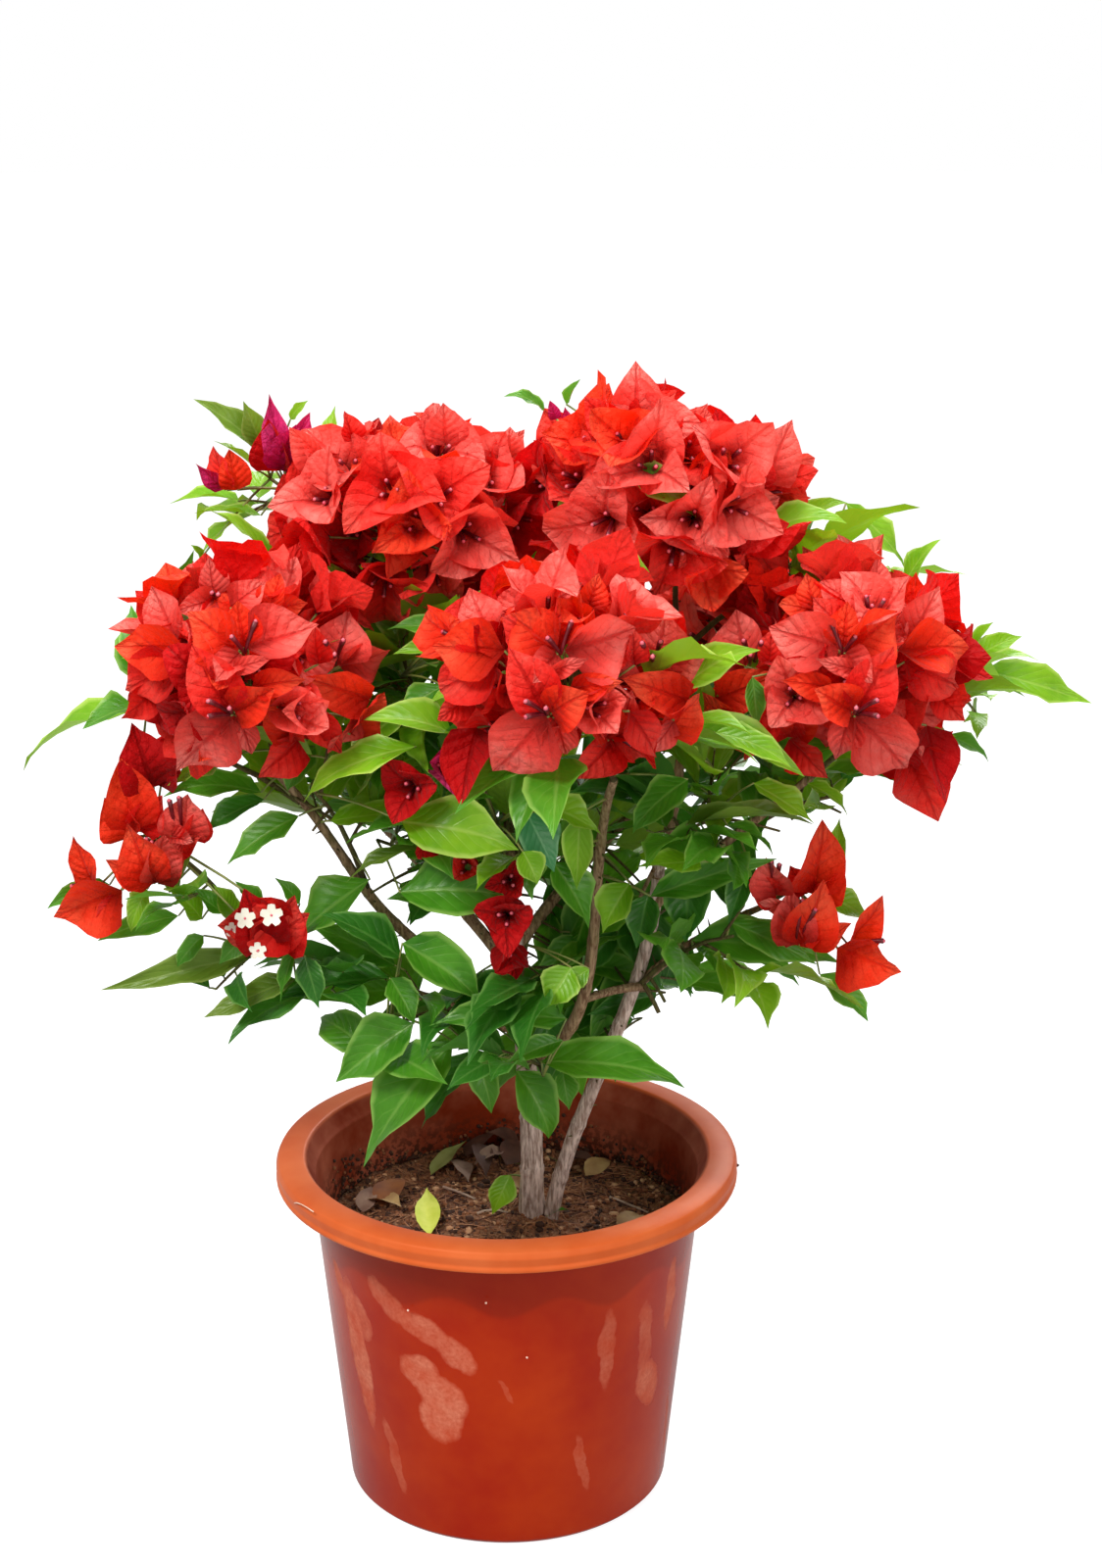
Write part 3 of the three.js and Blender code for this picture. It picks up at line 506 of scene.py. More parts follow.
def joined(name, form, copies, finish, replaced):
    """One mesh from all the copies of a form, each given as its moved points in millimetres."""
    count = len(form.points)
    mesh = bpy.data.meshes.new(name)
    places = (np.concatenate(copies) * MM).tolist()
    firsts = range(0, len(places), count)
    faces = [[corner + first for corner in face] for first in firsts for face in form.faces]
    mesh.from_pydata(places, [], faces)
    if form.flat is not None:
        corners = np.empty(len(mesh.loops), dtype=np.int32)
        mesh.loops.foreach_get("vertex_index", corners)
        mesh.uv_layers.new(name="UVMap").data.foreach_set("uv", form.flat[corners % count].ravel())
    mesh.shade_smooth()
    mesh.materials.append(finish)
    piece = put_in_scene(name, mesh)
    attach(piece, "root")
    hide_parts(*replaced)
    print(name, len(copies), "copies,", sum(len(face) - 2 for face in faces), "triangles")


# %% [markdown]
# The plant grows by one seeded rule, the same as in the model's source, so the same seed gives the
# same plant. All directions are worked out with a few small vector helpers.


# %% Vectors and seeded draws
def spot(*numbers):
    """A place or a direction, from its three numbers."""
    return np.array(numbers, dtype=float)


UP = spot(0, 0, 1)
NORTH = spot(0, 1, 0)
EAST = spot(1, 0, 0)
GOLDEN_ANGLE = math.pi * (3 - math.sqrt(5))
FULL_TURN = 2 * math.pi


def two_ends(numbers):
    """The root and the tip, from a row's six numbers."""
    return spot(*numbers[:3]), spot(*numbers[3:])


def unit(vector):
    """A direction made one unit long."""
    return vector / math.sqrt(vector @ vector)


def mixed(*shares):
    """A sum of directions, each given with its share, made one unit long."""
    return unit(sum(direction * share for direction, share in shares))


def square_to(direction, axis):
    """What is left of a direction once the part of it along an axis is taken away."""
    return unit(direction - axis * (direction @ axis))


def cross_directions(direction):
    """Two directions at right angles to a third."""
    first = unit(np.cross(UP if abs(direction[2]) < 0.8 else NORTH, direction))
    return first, unit(np.cross(direction, first))


def spoke(first, second, turn):
    """The direction that lies at an angle between two directions at right angles."""
    return first * math.cos(turn) + second * math.sin(turn)


def outward_at(point):
    """The outward direction of the whole crown at a point. The crown's middle stands 30 mm to the right."""
    return unit(spot(point[0] - 30, point[1], 1e-6))


WORD = 2 ** 32
SEEDS = {"thorns": 3000, "crumbs": 4242, "behind_stems": 40000, "twigs": 50000, "set_bracts": 60000,
         "set_leaves": 70000, "set_flowers": 80000, "fallen_leaves": 90000}


def dice(seed):
    """Seeded draws between two limits. The first two draws are thrown away."""
    state = (seed * 2654435761) % WORD

    def draw(low, high):
        nonlocal state
        state = (state * 1664525 + 1013904223) % WORD
        return low + (high - low) * state / WORD

    draw(0, 1)
    draw(0, 1)
    return draw


print("the first draw of seed 1:", round(dice(1)(0, 1), 4))

# %% [markdown]
# Twigs, stalks, tubes and limbs all follow smooth curves. A curve is a function of the share of the
# way along it, and a rod is laid along a curve by moving its points.


# %% Curves and rods along them
def curve_through(*handles):
    """A Bezier curve, as a function from 0 to 1 that takes one place or many."""
    handles = [spot(*handle) for handle in handles]
    order = len(handles) - 1

    def at(t):
        t = np.atleast_1d(t)[:, None]
        return sum(math.comb(order, i) * (1 - t) ** (order - i) * t ** i * h for i, h in enumerate(handles))

    return at


def limb_curve(start, low, high, end):
    """The cubic curve that passes its two middle points a third and two thirds of the way along."""
    start, low, high, end = (spot(*place) for place in (start, low, high, end))
    first = (-5 * start + 18 * low - 9 * high + 2 * end) / 6
    second = (2 * start - 9 * low + 18 * high - 5 * end) / 6
    return curve_through(start, first, second, end)


def arched(foot, tip, rise=0.16):
    """A shoot that arches up from its foot to its tip."""
    return curve_through(foot, (foot + tip) / 2 + UP * rise * np.linalg.norm(tip - foot), tip)


def way_on(curve, t):
    """The direction of a curve at a share of the way along it."""
    step = curve([max(t - 0.01, 0), min(t + 0.01, 1)])
    return unit(step[1] - step[0])


def rod_along(curve, thick, thin, form=ROD):
    """A copy of the rod, bent along a curve, as its moved points."""
    t = form.points[:, 2]
    centres = curve(t)
    ways = curve(np.minimum(t + 0.02, 1.0)) - curve(np.maximum(t - 0.02, 0.0))
    ways /= np.linalg.norm(ways, axis=1)[:, None]
    guide = cross_directions(ways[0])[0]
    sides = guide - ways * (ways @ guide)[:, None]
    sides /= np.linalg.norm(sides, axis=1)[:, None]
    others = np.cross(ways, sides)
    radius = (thick + (thin - thick) * t)[:, None]
    return centres + sides * form.points[:, :1] * radius + others * form.points[:, 1:2] * radius


# %% [markdown]
# Two stems leave the soil and carry ten boughs. Old bougainvillea bark is grey-brown and split into
# short upright ridges, and it is smoother on the younger boughs. Each limb is a rod with many rings,
# laid along its curve, whose points are pushed in and out by noise that is drawn out along the
# limb, so the ridges are real relief. A limb swells a little at each old leaf scar. A row gives the
# four places that a limb's middle line passes, its radius at the foot and at the tip, and how much
# more it flares at the foot.

# %% The limbs
LIMB_ROWS = {
    "main_stem": ([(16, 6, 172), (15, 3, 262), (9, 7, 332), (2, 12, 402)], 7.6, 5, 2.4),
    "leaning_stem": ([(27, 4, 172), (53, -6, 268), (82, -10, 348), (96, -20, 438)], 4.9, 3.8, 0.6),
    "bough_front": ([(11, 4, 292), (48, -34, 345), (57, -50, 425), (66, -88, 508)], 4.4, 2.6, 0),
    "bough_left": ([(7, 8, 326), (-66, -12, 386), (-100, -30, 440), (-137, -50, 500)], 4, 2.4, 0),
    "bough_low_left": ([(10, 5, 308), (-48, -10, 338), (-104, -22, 362), (-150, -34, 382)], 3.4, 2.2, 0),
    "bough_top_left": ([(2, 12, 388), (-18, 14, 450), (-34, 16, 510), (-47, 18, 568)], 4.4, 2.6, 0),
    "bough_top_right": ([(94, -18, 422), (106, -10, 472), (110, -2, 522), (106, 6, 570)], 3.6, 2.4, 0),
    "bough_low_right": ([(82, -10, 346), (112, -16, 374), (138, -24, 394), (164, -32, 410)], 3.2, 2, 0),
    "bough_right": ([(91, -15, 400), (122, -28, 436), (156, -42, 470), (186, -54, 500)], 3.4, 2.2, 0),
    "bough_back_left": ([(6, 9, 346), (-38, 40, 392), (-78, 66, 426), (-118, 90, 458)], 4, 2.4, 0),
    "bough_back": ([(3, 12, 374), (2, 52, 418), (-2, 92, 460), (-8, 128, 506)], 4, 2.4, 0),
    "bough_back_right": ([(4, 11, 360), (44, 42, 404), (82, 70, 436), (120, 94, 466)], 4, 2.4, 0),
}
STEMS = ("main_stem", "leaning_stem")
BOUGHS = [name for name in LIMB_ROWS if name not in STEMS]
SCARS = 7
LIMBS = {}
for number, (name, (path, thick, thin, flare)) in enumerate(LIMB_ROWS.items()):
    LIMBS[name] = {"path": path, "curve": limb_curve(*path), "thick": thick, "thin": thin, "flare": flare,
                   "seed": number}
print("limbs:", len(LIMBS))


def limb_radius(limb, t):
    """The radius of a limb: it tapers, and a stem flares at its foot."""
    return limb["thick"] + (limb["thin"] - limb["thick"]) * t + limb["flare"] * np.exp(-14 * t)


def bark_rod(limb, form, depth):
    """The points of a limb with its bark in relief: long narrow ridges, rings at scars, and slow bends."""
    smooth = rod_along(limb["curve"], 1, 1, form)
    t = form.points[:, 2]
    centres = limb["curve"](t)
    spokes = smooth - centres
    lengths = np.linalg.norm(spokes, axis=1)
    radius = limb_radius(limb, t)
    raised = np.zeros(len(t))
    for i, (x, y, along) in enumerate(form.points):
        around = Vector((x * 2.6, y * 2.6, along * 9 + 7 * limb["seed"]))
        ridge = noise.fractal(around, 0.9, 2.1, 4)
        scar = max(0.0, math.cos(along * FULL_TURN * SCARS + limb["seed"])) ** 14
        bend = noise.noise(Vector((x, y, along * 5 + 3 * limb["seed"])))
        raised[i] = depth * ridge * radius[i] + 0.12 * scar * radius[i] + 0.09 * bend * radius[i]
    return centres + spokes * ((radius + raised) / np.maximum(lengths, 1e-6) * (lengths > 0.5))[:, None]


STEM_ROD = rod_form(40, 130)
BOUGH_ROD = rod_form(18, 70)
print("rods for limbs:", len(STEM_ROD.faces), "and", len(BOUGH_ROD.faces), "faces")


# %% [markdown]
# Bark is painted in two tones, dark in the splits and pale on the ridges, with a greenish cast
# where it is young. The ridges are modelled, so the bump adds only the finest grain.


# %% Bark finishes
def bark_finish(name, dark, pale, cast):
    """A finish for bark: two tones drawn out upright, with patches of a third."""
    made, tree, shader, place = bare_finish(name, Roughness=0.82, Specular_IOR_Level=0.3)
    upright = stretched(tree, place, (1.0, 1.0, 0.16))
    splits = mottled(tree, upright, 520.0, 0.38, 0.62)
    bloom = mottled(tree, place["Object"], 60.0, 0.45, 0.75)
    tone = blend_colours(tree, splits, colour(*dark), colour(*pale))
    tone = blend_colours(tree, times(tree, bloom, 0.6), tone, colour(*cast))
    tree.links.new(tone, shader.inputs["Base Color"])
    raise_surface(tree, shader, splits, 0.0007, 0.8)
    return made


old_bark = bark_finish("old_bark", (140, 112, 98), (232, 208, 194), (204, 178, 160))
bough_bark = bark_finish("bough_bark", (112, 80, 56), (178, 146, 112), (136, 130, 78))
twig_bark = bark_finish("twig_bark", (80, 62, 36), (104, 96, 52), (92, 112, 48))
stem_rods = [bark_rod(LIMBS[name], STEM_ROD, 0.07) for name in STEMS]
bough_rods = [bark_rod(LIMBS[name], BOUGH_ROD, 0.06) for name in BOUGHS]
joined("stems_with_bark", STEM_ROD, stem_rods, old_bark, STEMS)
joined("boughs_with_bark", BOUGH_ROD, bough_rods, bough_bark, BOUGHS)

# %% [markdown]
# Each mass of foliage is one shoot. Heads end in a dome of flowers over a collar of leaves. Sprays
# are leafy, and a few carry flowers. The names, feet and tips are the model's own, so every mass
# stays where its solid is. A row for a head gives its limb, its tip, the half width and half height
# of its dome, and its flowers in the model. A row for a spray gives its limb, its foot, its tip, the
# reach of its twigs, their number in the model, how leafy it is, and how large its leaves are. A
# mass without a foot of its own starts at its limb's tip.

# %% The masses
HEADS = {
    "flower_head_left": ("bough_left", (-150, -80, 578), 62, 50, 11),
    "flower_head_top_left": ("bough_top_left", (-60, 18, 650), 70, 42, 11),
    "flower_head_top_right": ("bough_top_right", (103, 8, 662), 64, 50, 12),
    "flower_head_front": ("bough_front", (36, -142, 588), 62, 50, 12),
    "flower_head_right": ("bough_right", (200, -62, 570), 64, 50, 12),
    "flower_head_back_left": ("bough_back_left", (-150, 104, 530), 60, 44, 10),
    "flower_head_back": ("bough_back", (-6, 170, 590), 60, 44, 10),
    "flower_head_back_right": ("bough_back_right", (158, 118, 536), 60, 44, 10),
}
SPRAYS = {
    "spray_low_left": ("bough_low_left", None, (-222, -42, 462), 50, 7, 0.35, 1.0),
    "spray_low_right": ("bough_low_right", None, (182, -52, 426), 44, 6, 0.35, 0.8),
    "spray_top_left": ("bough_top_left", (-44, 17, 556), (-146, 50, 662), 42, 6, 0.4, 0.75),
    "spray_right": ("bough_right", (180, -52, 493), (296, 18, 540), 44, 5, 0.4, 0.8),
    "spray_far_left": ("bough_left", (-124, -44, 480), (-226, -10, 510), 60, 4, 0.35, 1.0),
    "spray_upper_right": ("bough_top_right", (107, 5, 560), (202, 40, 612), 48, 5, 0.5, 1.0),
    "leaves_upper_left": ("bough_top_left", (-28, 15, 492), (-62, -28, 556), 50, 6, 1.0, 1.0),
    "leaves_under_left": ("bough_left", (-86, -23, 418), (-112, -84, 500), 50, 6, 0.5, 1.0),
    "leaves_mid_left": ("main_stem", (4, 10, 376), (-78, -44, 456), 58, 7, 0.55, 1.0),
    "leaves_inner": ("main_stem", (10, 7, 330), (14, -72, 398), 52, 6, 0.4, 1.0),
    "leaves_middle": ("main_stem", (2, 12, 396), (-4, -66, 474), 58, 8, 0.7, 1.0),
    "leaves_mid_right": ("leaning_stem", None, (128, -74, 484), 62, 8, 0.8, 1.0),
    "leaves_far_right": ("bough_right", (126, -30, 440), (208, 2, 470), 46, 5, 1.0, 1.0),
    "leaves_far_left": ("bough_low_left", (-52, -11, 339), (-164, -60, 394), 52, 7, 0.3, 1.0),
    "leaves_low_left": ("main_stem", (8, 7, 318), (-72, -78, 346), 58, 7, 0.35, 1.0),
    "leaves_low_front": ("main_stem", (13, 3, 284), (24, -96, 322), 56, 6, 0.3, 1.0),
    "leaves_low_right": ("leaning_stem", (80, -9, 342), (140, -68, 402), 48, 5, 0.6, 1.0),
    "leaves_back_left": ("main_stem", (6, 9, 352), (-96, 92, 452), 62, 7, 1.0, 1.0),
    "leaves_back_right": ("main_stem", (6, 9, 358), (108, 100, 462), 62, 7, 1.0, 1.0),
    "leaves_back": ("main_stem", (7, 8, 344), (4, 118, 446), 62, 7, 1.0, 1.0),
}
ODD_SEEDS = {"leaves_back_right": 41}
masses = []
for name, (limb, tip, wide, tall, flowers) in HEADS.items():
    masses.append({"name": name, "limb": limb, "foot": None, "tip": tip, "dome": spot(wide, wide, tall),
                   "flowers": flowers, "reach": 62, "twigs": 5, "leafy": 1.0, "scale": 1.0, "head": True})
for name, (limb, foot, tip, reach, twigs, leafy, scale) in SPRAYS.items():
    masses.append({"name": name, "limb": limb, "foot": foot, "tip": tip, "reach": reach, "twigs": twigs,
                   "leafy": leafy, "scale": scale, "head": False})
for number, mass in enumerate(masses):
    mass["tip"] = spot(*mass["tip"])
    mass["seed"] = ODD_SEEDS.get(mass["name"], number + 1)
    mass["shoot"] = arched(spot(*(mass["foot"] or LIMBS[mass["limb"]]["path"][3])), mass["tip"])
by_name = {mass["name"]: mass for mass in masses}
print("masses:", len(masses))

# %% [markdown]
# A leaf is an ovate blade that runs out to a fine point. It folds a little along its midrib, bends
# down along its length, waves at its edge and twists. A bract is broader and cupped round the
# flower tubes, and its tip rolls back. Both are the blade form, whose points are placed by these
# few numbers, so no two are alike.

# %% Leaf and bract shapes
ACROSS = BLADE.points[:, 0]
ALONG = BLADE.points[:, 1] / 2 + 0.5
MIDRIB = np.flatnonzero(np.abs(ACROSS) < 0.01)
LEAF_OUTLINE = np.interp(ALONG, [0, 0.06, 0.14, 0.26, 0.38, 0.5, 0.62, 0.75, 0.88, 1],
                         [0.02, 0.3, 0.66, 0.94, 1, 0.95, 0.78, 0.46, 0.18, 0])
BRACT_STEPS = [0, 0.05, 0.12, 0.25, 0.38, 0.5, 0.62, 0.75, 0.88, 1]
POINTED_BRACT = np.interp(ALONG, BRACT_STEPS, [0.1, 0.56, 0.82, 0.98, 1, 0.93, 0.77, 0.5, 0.2, 0])
ROUND_BRACT = np.interp(ALONG, BRACT_STEPS, [0.1, 0.48, 0.74, 0.93, 0.99, 1, 0.97, 0.84, 0.52, 0])


def bent_blade(root, axis, face, length, half, angles, outline, rise, twist=0.0):
    """A blade's points: its midrib turns from the axis by the angles given, down from its face."""
    side = np.cross(axis, face)
    order = np.argsort(ALONG, kind="stable")
    steps = np.unique(ALONG)
    turn = np.interp(steps, ALONG[order], angles[order])
    halfway = (turn[1:] + turn[:-1]) / 2
    forward = np.concatenate([[0], np.cumsum(np.cos(halfway) * np.diff(steps))])
    fall = np.concatenate([[0], np.cumsum(np.sin(halfway) * np.diff(steps))])
    x = np.interp(ALONG, steps, forward) * length
    z = -np.interp(ALONG, steps, fall) * length
    wide = ACROSS * half * length * outline
    high = rise * length
    roll = twist * ALONG
    out = wide * np.cos(roll) - high * np.sin(roll)
    lift = wide * np.sin(roll) + high * np.cos(roll)
    x = x + lift * np.sin(angles)
    z = z + lift * np.cos(angles)
    return root + x[:, None] * axis + out[:, None] * side + z[:, None] * face


def leaf_points(root, axis, face, length, draw, half=None):
    """One leaf, with its own droop, fold, waves and twist."""
    droop = draw(0.15, 0.95)
    half = draw(0.18, 0.24) if half is None else half
    angles = droop * (ALONG ** 1.4) - 0.42 * droop + draw(-0.3, 0.5) * ALONG ** 4
    fold = draw(0.15, 0.65)
    edge = np.abs(ACROSS)
    waves = draw(0.02, 0.055) * np.sin(ALONG * draw(9, 16) + draw(0, 6) + draw(0.6, 2) * ACROSS) * edge ** 2
    rise = half * LEAF_OUTLINE * fold * edge ** 1.2 + waves * np.minimum(LEAF_OUTLINE * 2, 1)
    outline = LEAF_OUTLINE * (1 + 0.09 * np.sin(ALONG * draw(9, 15) + draw(0, 6) + 2 * np.sign(ACROSS)))
    return bent_blade(root, axis, face, length, half, angles, outline, rise, draw(-0.75, 0.75))


def bract_blade(root, axis, face, length, half, angles, draw, roundest=0.75):
    """A bract's points. Its outline lies between a pointed and a rounded one. It is cupped and wavy."""
    outline = POINTED_BRACT + draw(-0.1, roundest) * (ROUND_BRACT - POINTED_BRACT)
    edge = np.abs(ACROSS)
    cup = draw(0.4, 1.3) * (1 - 0.75 * ALONG)
    waves = draw(0.03, 0.1) * np.sin(ALONG * draw(6, 12) + draw(0, 6) + 2.5 * ACROSS) * (0.15 + edge ** 2)
    bulge = draw(-0.1, 0.1) * np.sin(ALONG * 4 + ACROSS * draw(-2.5, 2.5) + draw(0, 6))
    rise = half * outline * cup * edge ** 1.5 + (waves + bulge) * np.minimum(ALONG * 4, 1) * (1 - ALONG ** 6)
    return bent_blade(root, axis, face, length, half, angles, outline, rise, draw(-0.6, 0.6))


def bract_points(seat, facing, outward, length, opening, draw):
    """One of a flower's three bracts. It rises beside the tubes, opens, and rolls back at its tip."""
    start = opening * draw(0.1, 0.4)
    finish = opening * draw(0.95, 1.25)
    angles = start + (finish - start) * np.clip(ALONG / 0.7, 0, 1) ** 0.9 + draw(-1.1, 1.5) * ALONG ** 3
    return bract_blade(seat, facing, -outward, length, draw(0.35, 0.43), angles, draw)


print("a blade has", len(BLADE.points), "points, in", len(np.unique(ALONG)), "rows")

# %% [markdown]
# Leaves don't grow through each other or through a limb. Each new blade is tried against those
# already there, and one that crosses another is turned, shortened and at last left out. A tree of
# boxes over its few faces makes each test quick.

# %% The limbs as straight lines
limb_lines = []
for limb in LIMBS.values():
    points = limb["curve"](np.linspace(0, 1, 13))
    radii = [float(limb_radius(limb, t)) for t in np.linspace(0, 1, 12)]
    limb_lines += zip(points, points[1:], radii)
for mass in masses:
    points = mass["shoot"](np.linspace(0, 1, 6))
    limb_lines += zip(points, points[1:], [1.6] * 5)
LINE_START = np.array([line[0] for line in limb_lines])
LINE_WAY = np.array([line[1] for line in limb_lines]) - LINE_START
LINE_LENGTH = (LINE_WAY ** 2).sum(1)
LINE_RADIUS = np.array([line[2] for line in limb_lines])


def nearest_carrier(point):
    """The nearest point on the middle line of any limb or shoot."""
    offset = point - LINE_START
    share = np.clip((offset * LINE_WAY).sum(1) / LINE_LENGTH, 0, 1)
    spots = LINE_START + share[:, None] * LINE_WAY
    return spots[np.argmin(np.linalg.norm(spots - point, axis=1))]


def near_limb(points, room):
    """Whether any of the points lies in a limb or shoot, or nearer to it than the room given."""
    offset = points[:, None, :] - LINE_START[None]
    share = np.clip((offset * LINE_WAY).sum(2) / LINE_LENGTH, 0, 1)
    gap = np.linalg.norm(offset - share[:, :, None] * LINE_WAY, axis=2) - LINE_RADIUS
    return bool((gap < room).any())


print("lines along limbs and shoots:", len(limb_lines))

# %% [markdown]
# The photograph also says where there is no foliage. The sky shows through gaps between the boughs,
# the stems are bare, the heads stand before the leaves, and the two upper heads have a known
# outline. Each leaf on a twig is tried against the gaps, the stems and the heads, and each whole
# flower against the outline. They are all compared on one upright sheet through the pot's middle,
# as the viewer sees it. A gap is an ellipse there, and its row gives the x and height of its middle,
# its half width and its half height. The outline is a line through places.

# %% What the photograph keeps clear
FLOOR_OF_FOLIAGE = 236
STEMS_BARE_BELOW = 335
NEAR_SIDE = -28
HEAD_CORE = 0.72
HIDDEN_SHARE = 0.12
EYE = np.array(camera.location) / MM
OPENINGS = np.array([
    (-142, 436, 42, 24), (-87, 423, 21, 22), (-38, 370, 17, 24), (-283, 469, 30, 28), (-181, 282, 84, 19),
    (116, 303, 36, 31), (197, 317, 24, 22), (279, 393, 36, 68), (337, 478, 48, 56), (-290, 333, 36, 37),
    (133, 390, 9, 12), (-253, 641, 54, 37), (-219, 469, 31, 53), (-264, 413, 22, 26), (198, 413, 39, 46),
    (240, 370, 23, 26), (-150, 390, 20, 19), (-1, 390, 16, 28), (-230, 320, 54, 22), (240, 459, 27, 31),
    (-269, 564, 27, 24), (140, 604, 36, 28), (100, 606, 16, 22),
])
SHOWN_LIMBS = {"main_stem": (0.0, 0.4), "leaning_stem": (0.05, 0.95), "bough_front": (0.12, 0.9),
               "bough_left": (0.3, 1.0)}
SKYLINE = ((-144, 700), (-131, 716), (-108, 703), (-85, 708), (-61, 710), (-44, 718), (-26, 712),
           (-10, 701), (10, 700), (22, 714), (45, 722), (57, 738), (69, 730), (80, 743), (92, 738),
           (110, 722), (140, 710), (175, 709))


def on_sheet(points):
    """Where points are seen on the upright sheet through the pot's middle: x and height."""
    away = points - EYE
    return (EYE + away * (-EYE[1] / away[:, 1])[:, None])[:, [0, 2]]


def in_opening(points):
    """Whether points would close one of the gaps where the sky shows between the boughs."""
    apart = (on_sheet(points)[:, None] - OPENINGS[None, :, :2]) / OPENINGS[None, :, 2:]
    return bool(((apart ** 2).sum(2) < 1).any())


SHOWN = np.concatenate([LIMBS[name]["curve"](np.linspace(*part, 16)) for name, part in SHOWN_LIMBS.items()])
SHOWN_AT = on_sheet(SHOWN)


def over_skyline(points):
    """Whether points would stand above the two upper heads' outline, as the viewer sees it."""
    seen = on_sheet(points)
    limit = np.interp(seen[:, 0], *zip(*SKYLINE), left=math.inf, right=math.inf)
    return bool((seen[:, 1] > limit + 2).any())


def hides_limb(points):
    """Whether a leaf would hide one of the limbs that show on the near side."""
    apart = np.linalg.norm(on_sheet(points)[:, None] - SHOWN_AT[None], axis=2)
    return bool(((apart < 6) & (points[:, None, 1] < SHOWN[None, :, 1])).any())


def hides_head(points):
    """Whether more than a small share of a leaf would stand before one of the five near heads."""
    seen = on_sheet(points)
    for mass in masses:
        if mass["head"] and mass["tip"][1] < 40 and points[:, 1].mean() < mass["tip"][1] + 10:
            apart = (seen - on_sheet(mass["tip"][None])) / mass["dome"][[0, 2]]
            if ((apart ** 2).sum(1) < HEAD_CORE).mean() > HIDDEN_SHARE:
                return True
    return False


def must_stay_clear(points):
    """Whether a leaf that grows by rule would stand where the photograph shows none."""
    low = points[:, 2].mean() < STEMS_BARE_BELOW and points[:, 1].mean() < NEAR_SIDE
    return low or in_opening(points) or hides_limb(points) or hides_head(points)


print("openings:", len(OPENINGS), "shown limbs:", len(SHOWN_LIMBS))

# %% [markdown]
# The blades that have grown are kept with their boxes, and sorted into lists by tint. A new blade
# is tried shrunk about its middle, a leaf a little and a bract more, because real leaves touch and
# real bracts overlap.

# %% What has grown so far
MOST_BLADES = 4000
BLADE_REACH = 75
LEAF_SHRUNK = 0.85
FLOWER_SHRUNK = 0.6


class Crown:
    """The blades that have grown, and the test of a new one against them."""

    def __init__(self):
        self.middles = np.empty((MOST_BLADES, 3))
        self.trees = []

    def tried(self, points, shrunk):
        """The shrunk blade as its middle and its boxes, or nothing if it crosses another."""
        middle = points.mean(0)
        tree = BVHTree.FromPolygons((middle + (points - middle) * shrunk).tolist(), BLADE.faces)
        near = np.linalg.norm(self.middles[:len(self.trees)] - middle, axis=1) < BLADE_REACH
        if any(tree.overlap(self.trees[number]) for number in np.flatnonzero(near)):
            return None
        return middle, tree

    def add(self, middle, tree):
        """Keeps a blade that has been tried."""
        self.middles[len(self.trees)] = middle
        self.trees.append(tree)

    def add_untried(self, points):
        """Keeps a blade that stands where the photograph shows it."""
        self.add(points.mean(0), BVHTree.FromPolygons(points.tolist(), BLADE.faces))


crown = Crown()
grown = {kind: [] for kind in ("twigs", "stalks", "tubes", "tube_tips", "true_flowers", "thorns")}
leaves = {tint: [] for tint in ("fresh", "mid", "deep", "olive", "bluish")}
bracts = {tint: [] for tint in ("scarlet", "coral", "flame", "crimson", "magenta")}
print("tints:", *leaves, *bracts)


# %% [markdown]
# What looks like a flower is three papery bracts round three thin tubes, on one stalk. The true
# flower is the small white star that opens at the end of a tube. Most tubes here are still closed,
# and end in a pink swelling. The stalk runs from low on the mass's shoot out to the flower's seat,
# through the dome where the mass is a head.


# %% Growing one flower
def grow_flower(seat, facing, size, opening, spin, tint, draw, shrunk):
    """Adds the bracts and tubes of one flower if its bracts cross nothing."""
    first, second = cross_directions(facing)
    made = []
    for number in range(3):
        outward = spoke(first, second, spin + number * FULL_TURN / 3 + draw(-0.15, 0.15))
        points = bract_points(seat + outward * 1.2, facing, outward, size * draw(0.92, 1.06), opening, draw)
        if points[:, 2].min() < FLOOR_OF_FOLIAGE or over_skyline(points):
            return False
        free = crown.tried(points, shrunk)
        if free is None:
            return False
        made.append((points, free))
    for points, free in made:
        crown.add(*free)
        bracts[tint].append(points)
    for number in range(3):
        outward = spoke(first, second, spin + number * FULL_TURN / 3)
        lean = mixed((facing, 1.0), (outward, draw(0.16, 0.3)))
        top = seat + outward * 1.6 + lean * size * draw(0.38, 0.48)
        knee = seat + outward * 2.6 + facing * size * 0.2
        grown["tubes"].append(rod_along(curve_through(seat + outward * 0.8, knee, top), 0.9, 1.6))
        grown["tube_tips"].append(top + CRUMB.points * 1.25)
    return True


def add_stalk(mass, seat):
    """Adds a stalk from a mass's shoot to a flower's seat."""
    if mass["head"]:
        way = curve_through(mass["shoot"](0.72)[0], mass["tip"] - 0.5 * mass["dome"][2] * UP, seat)
    else:
        way = arched(mass["shoot"](0.9)[0], seat, 0.06)
    grown["stalks"].append(rod_along(way, 1.0, 0.7))


# %% [markdown]
# The flowers that face the viewer give the bush its look, so they are set one by one. On the two
# upper heads, and deep in the crown, each row gives a whole flower: its seat, the way it faces, the
# length of its bracts, how far they open, the turn of the first one, and its tint. A flower that
# would cross another is shifted a little in or out along the way it faces.

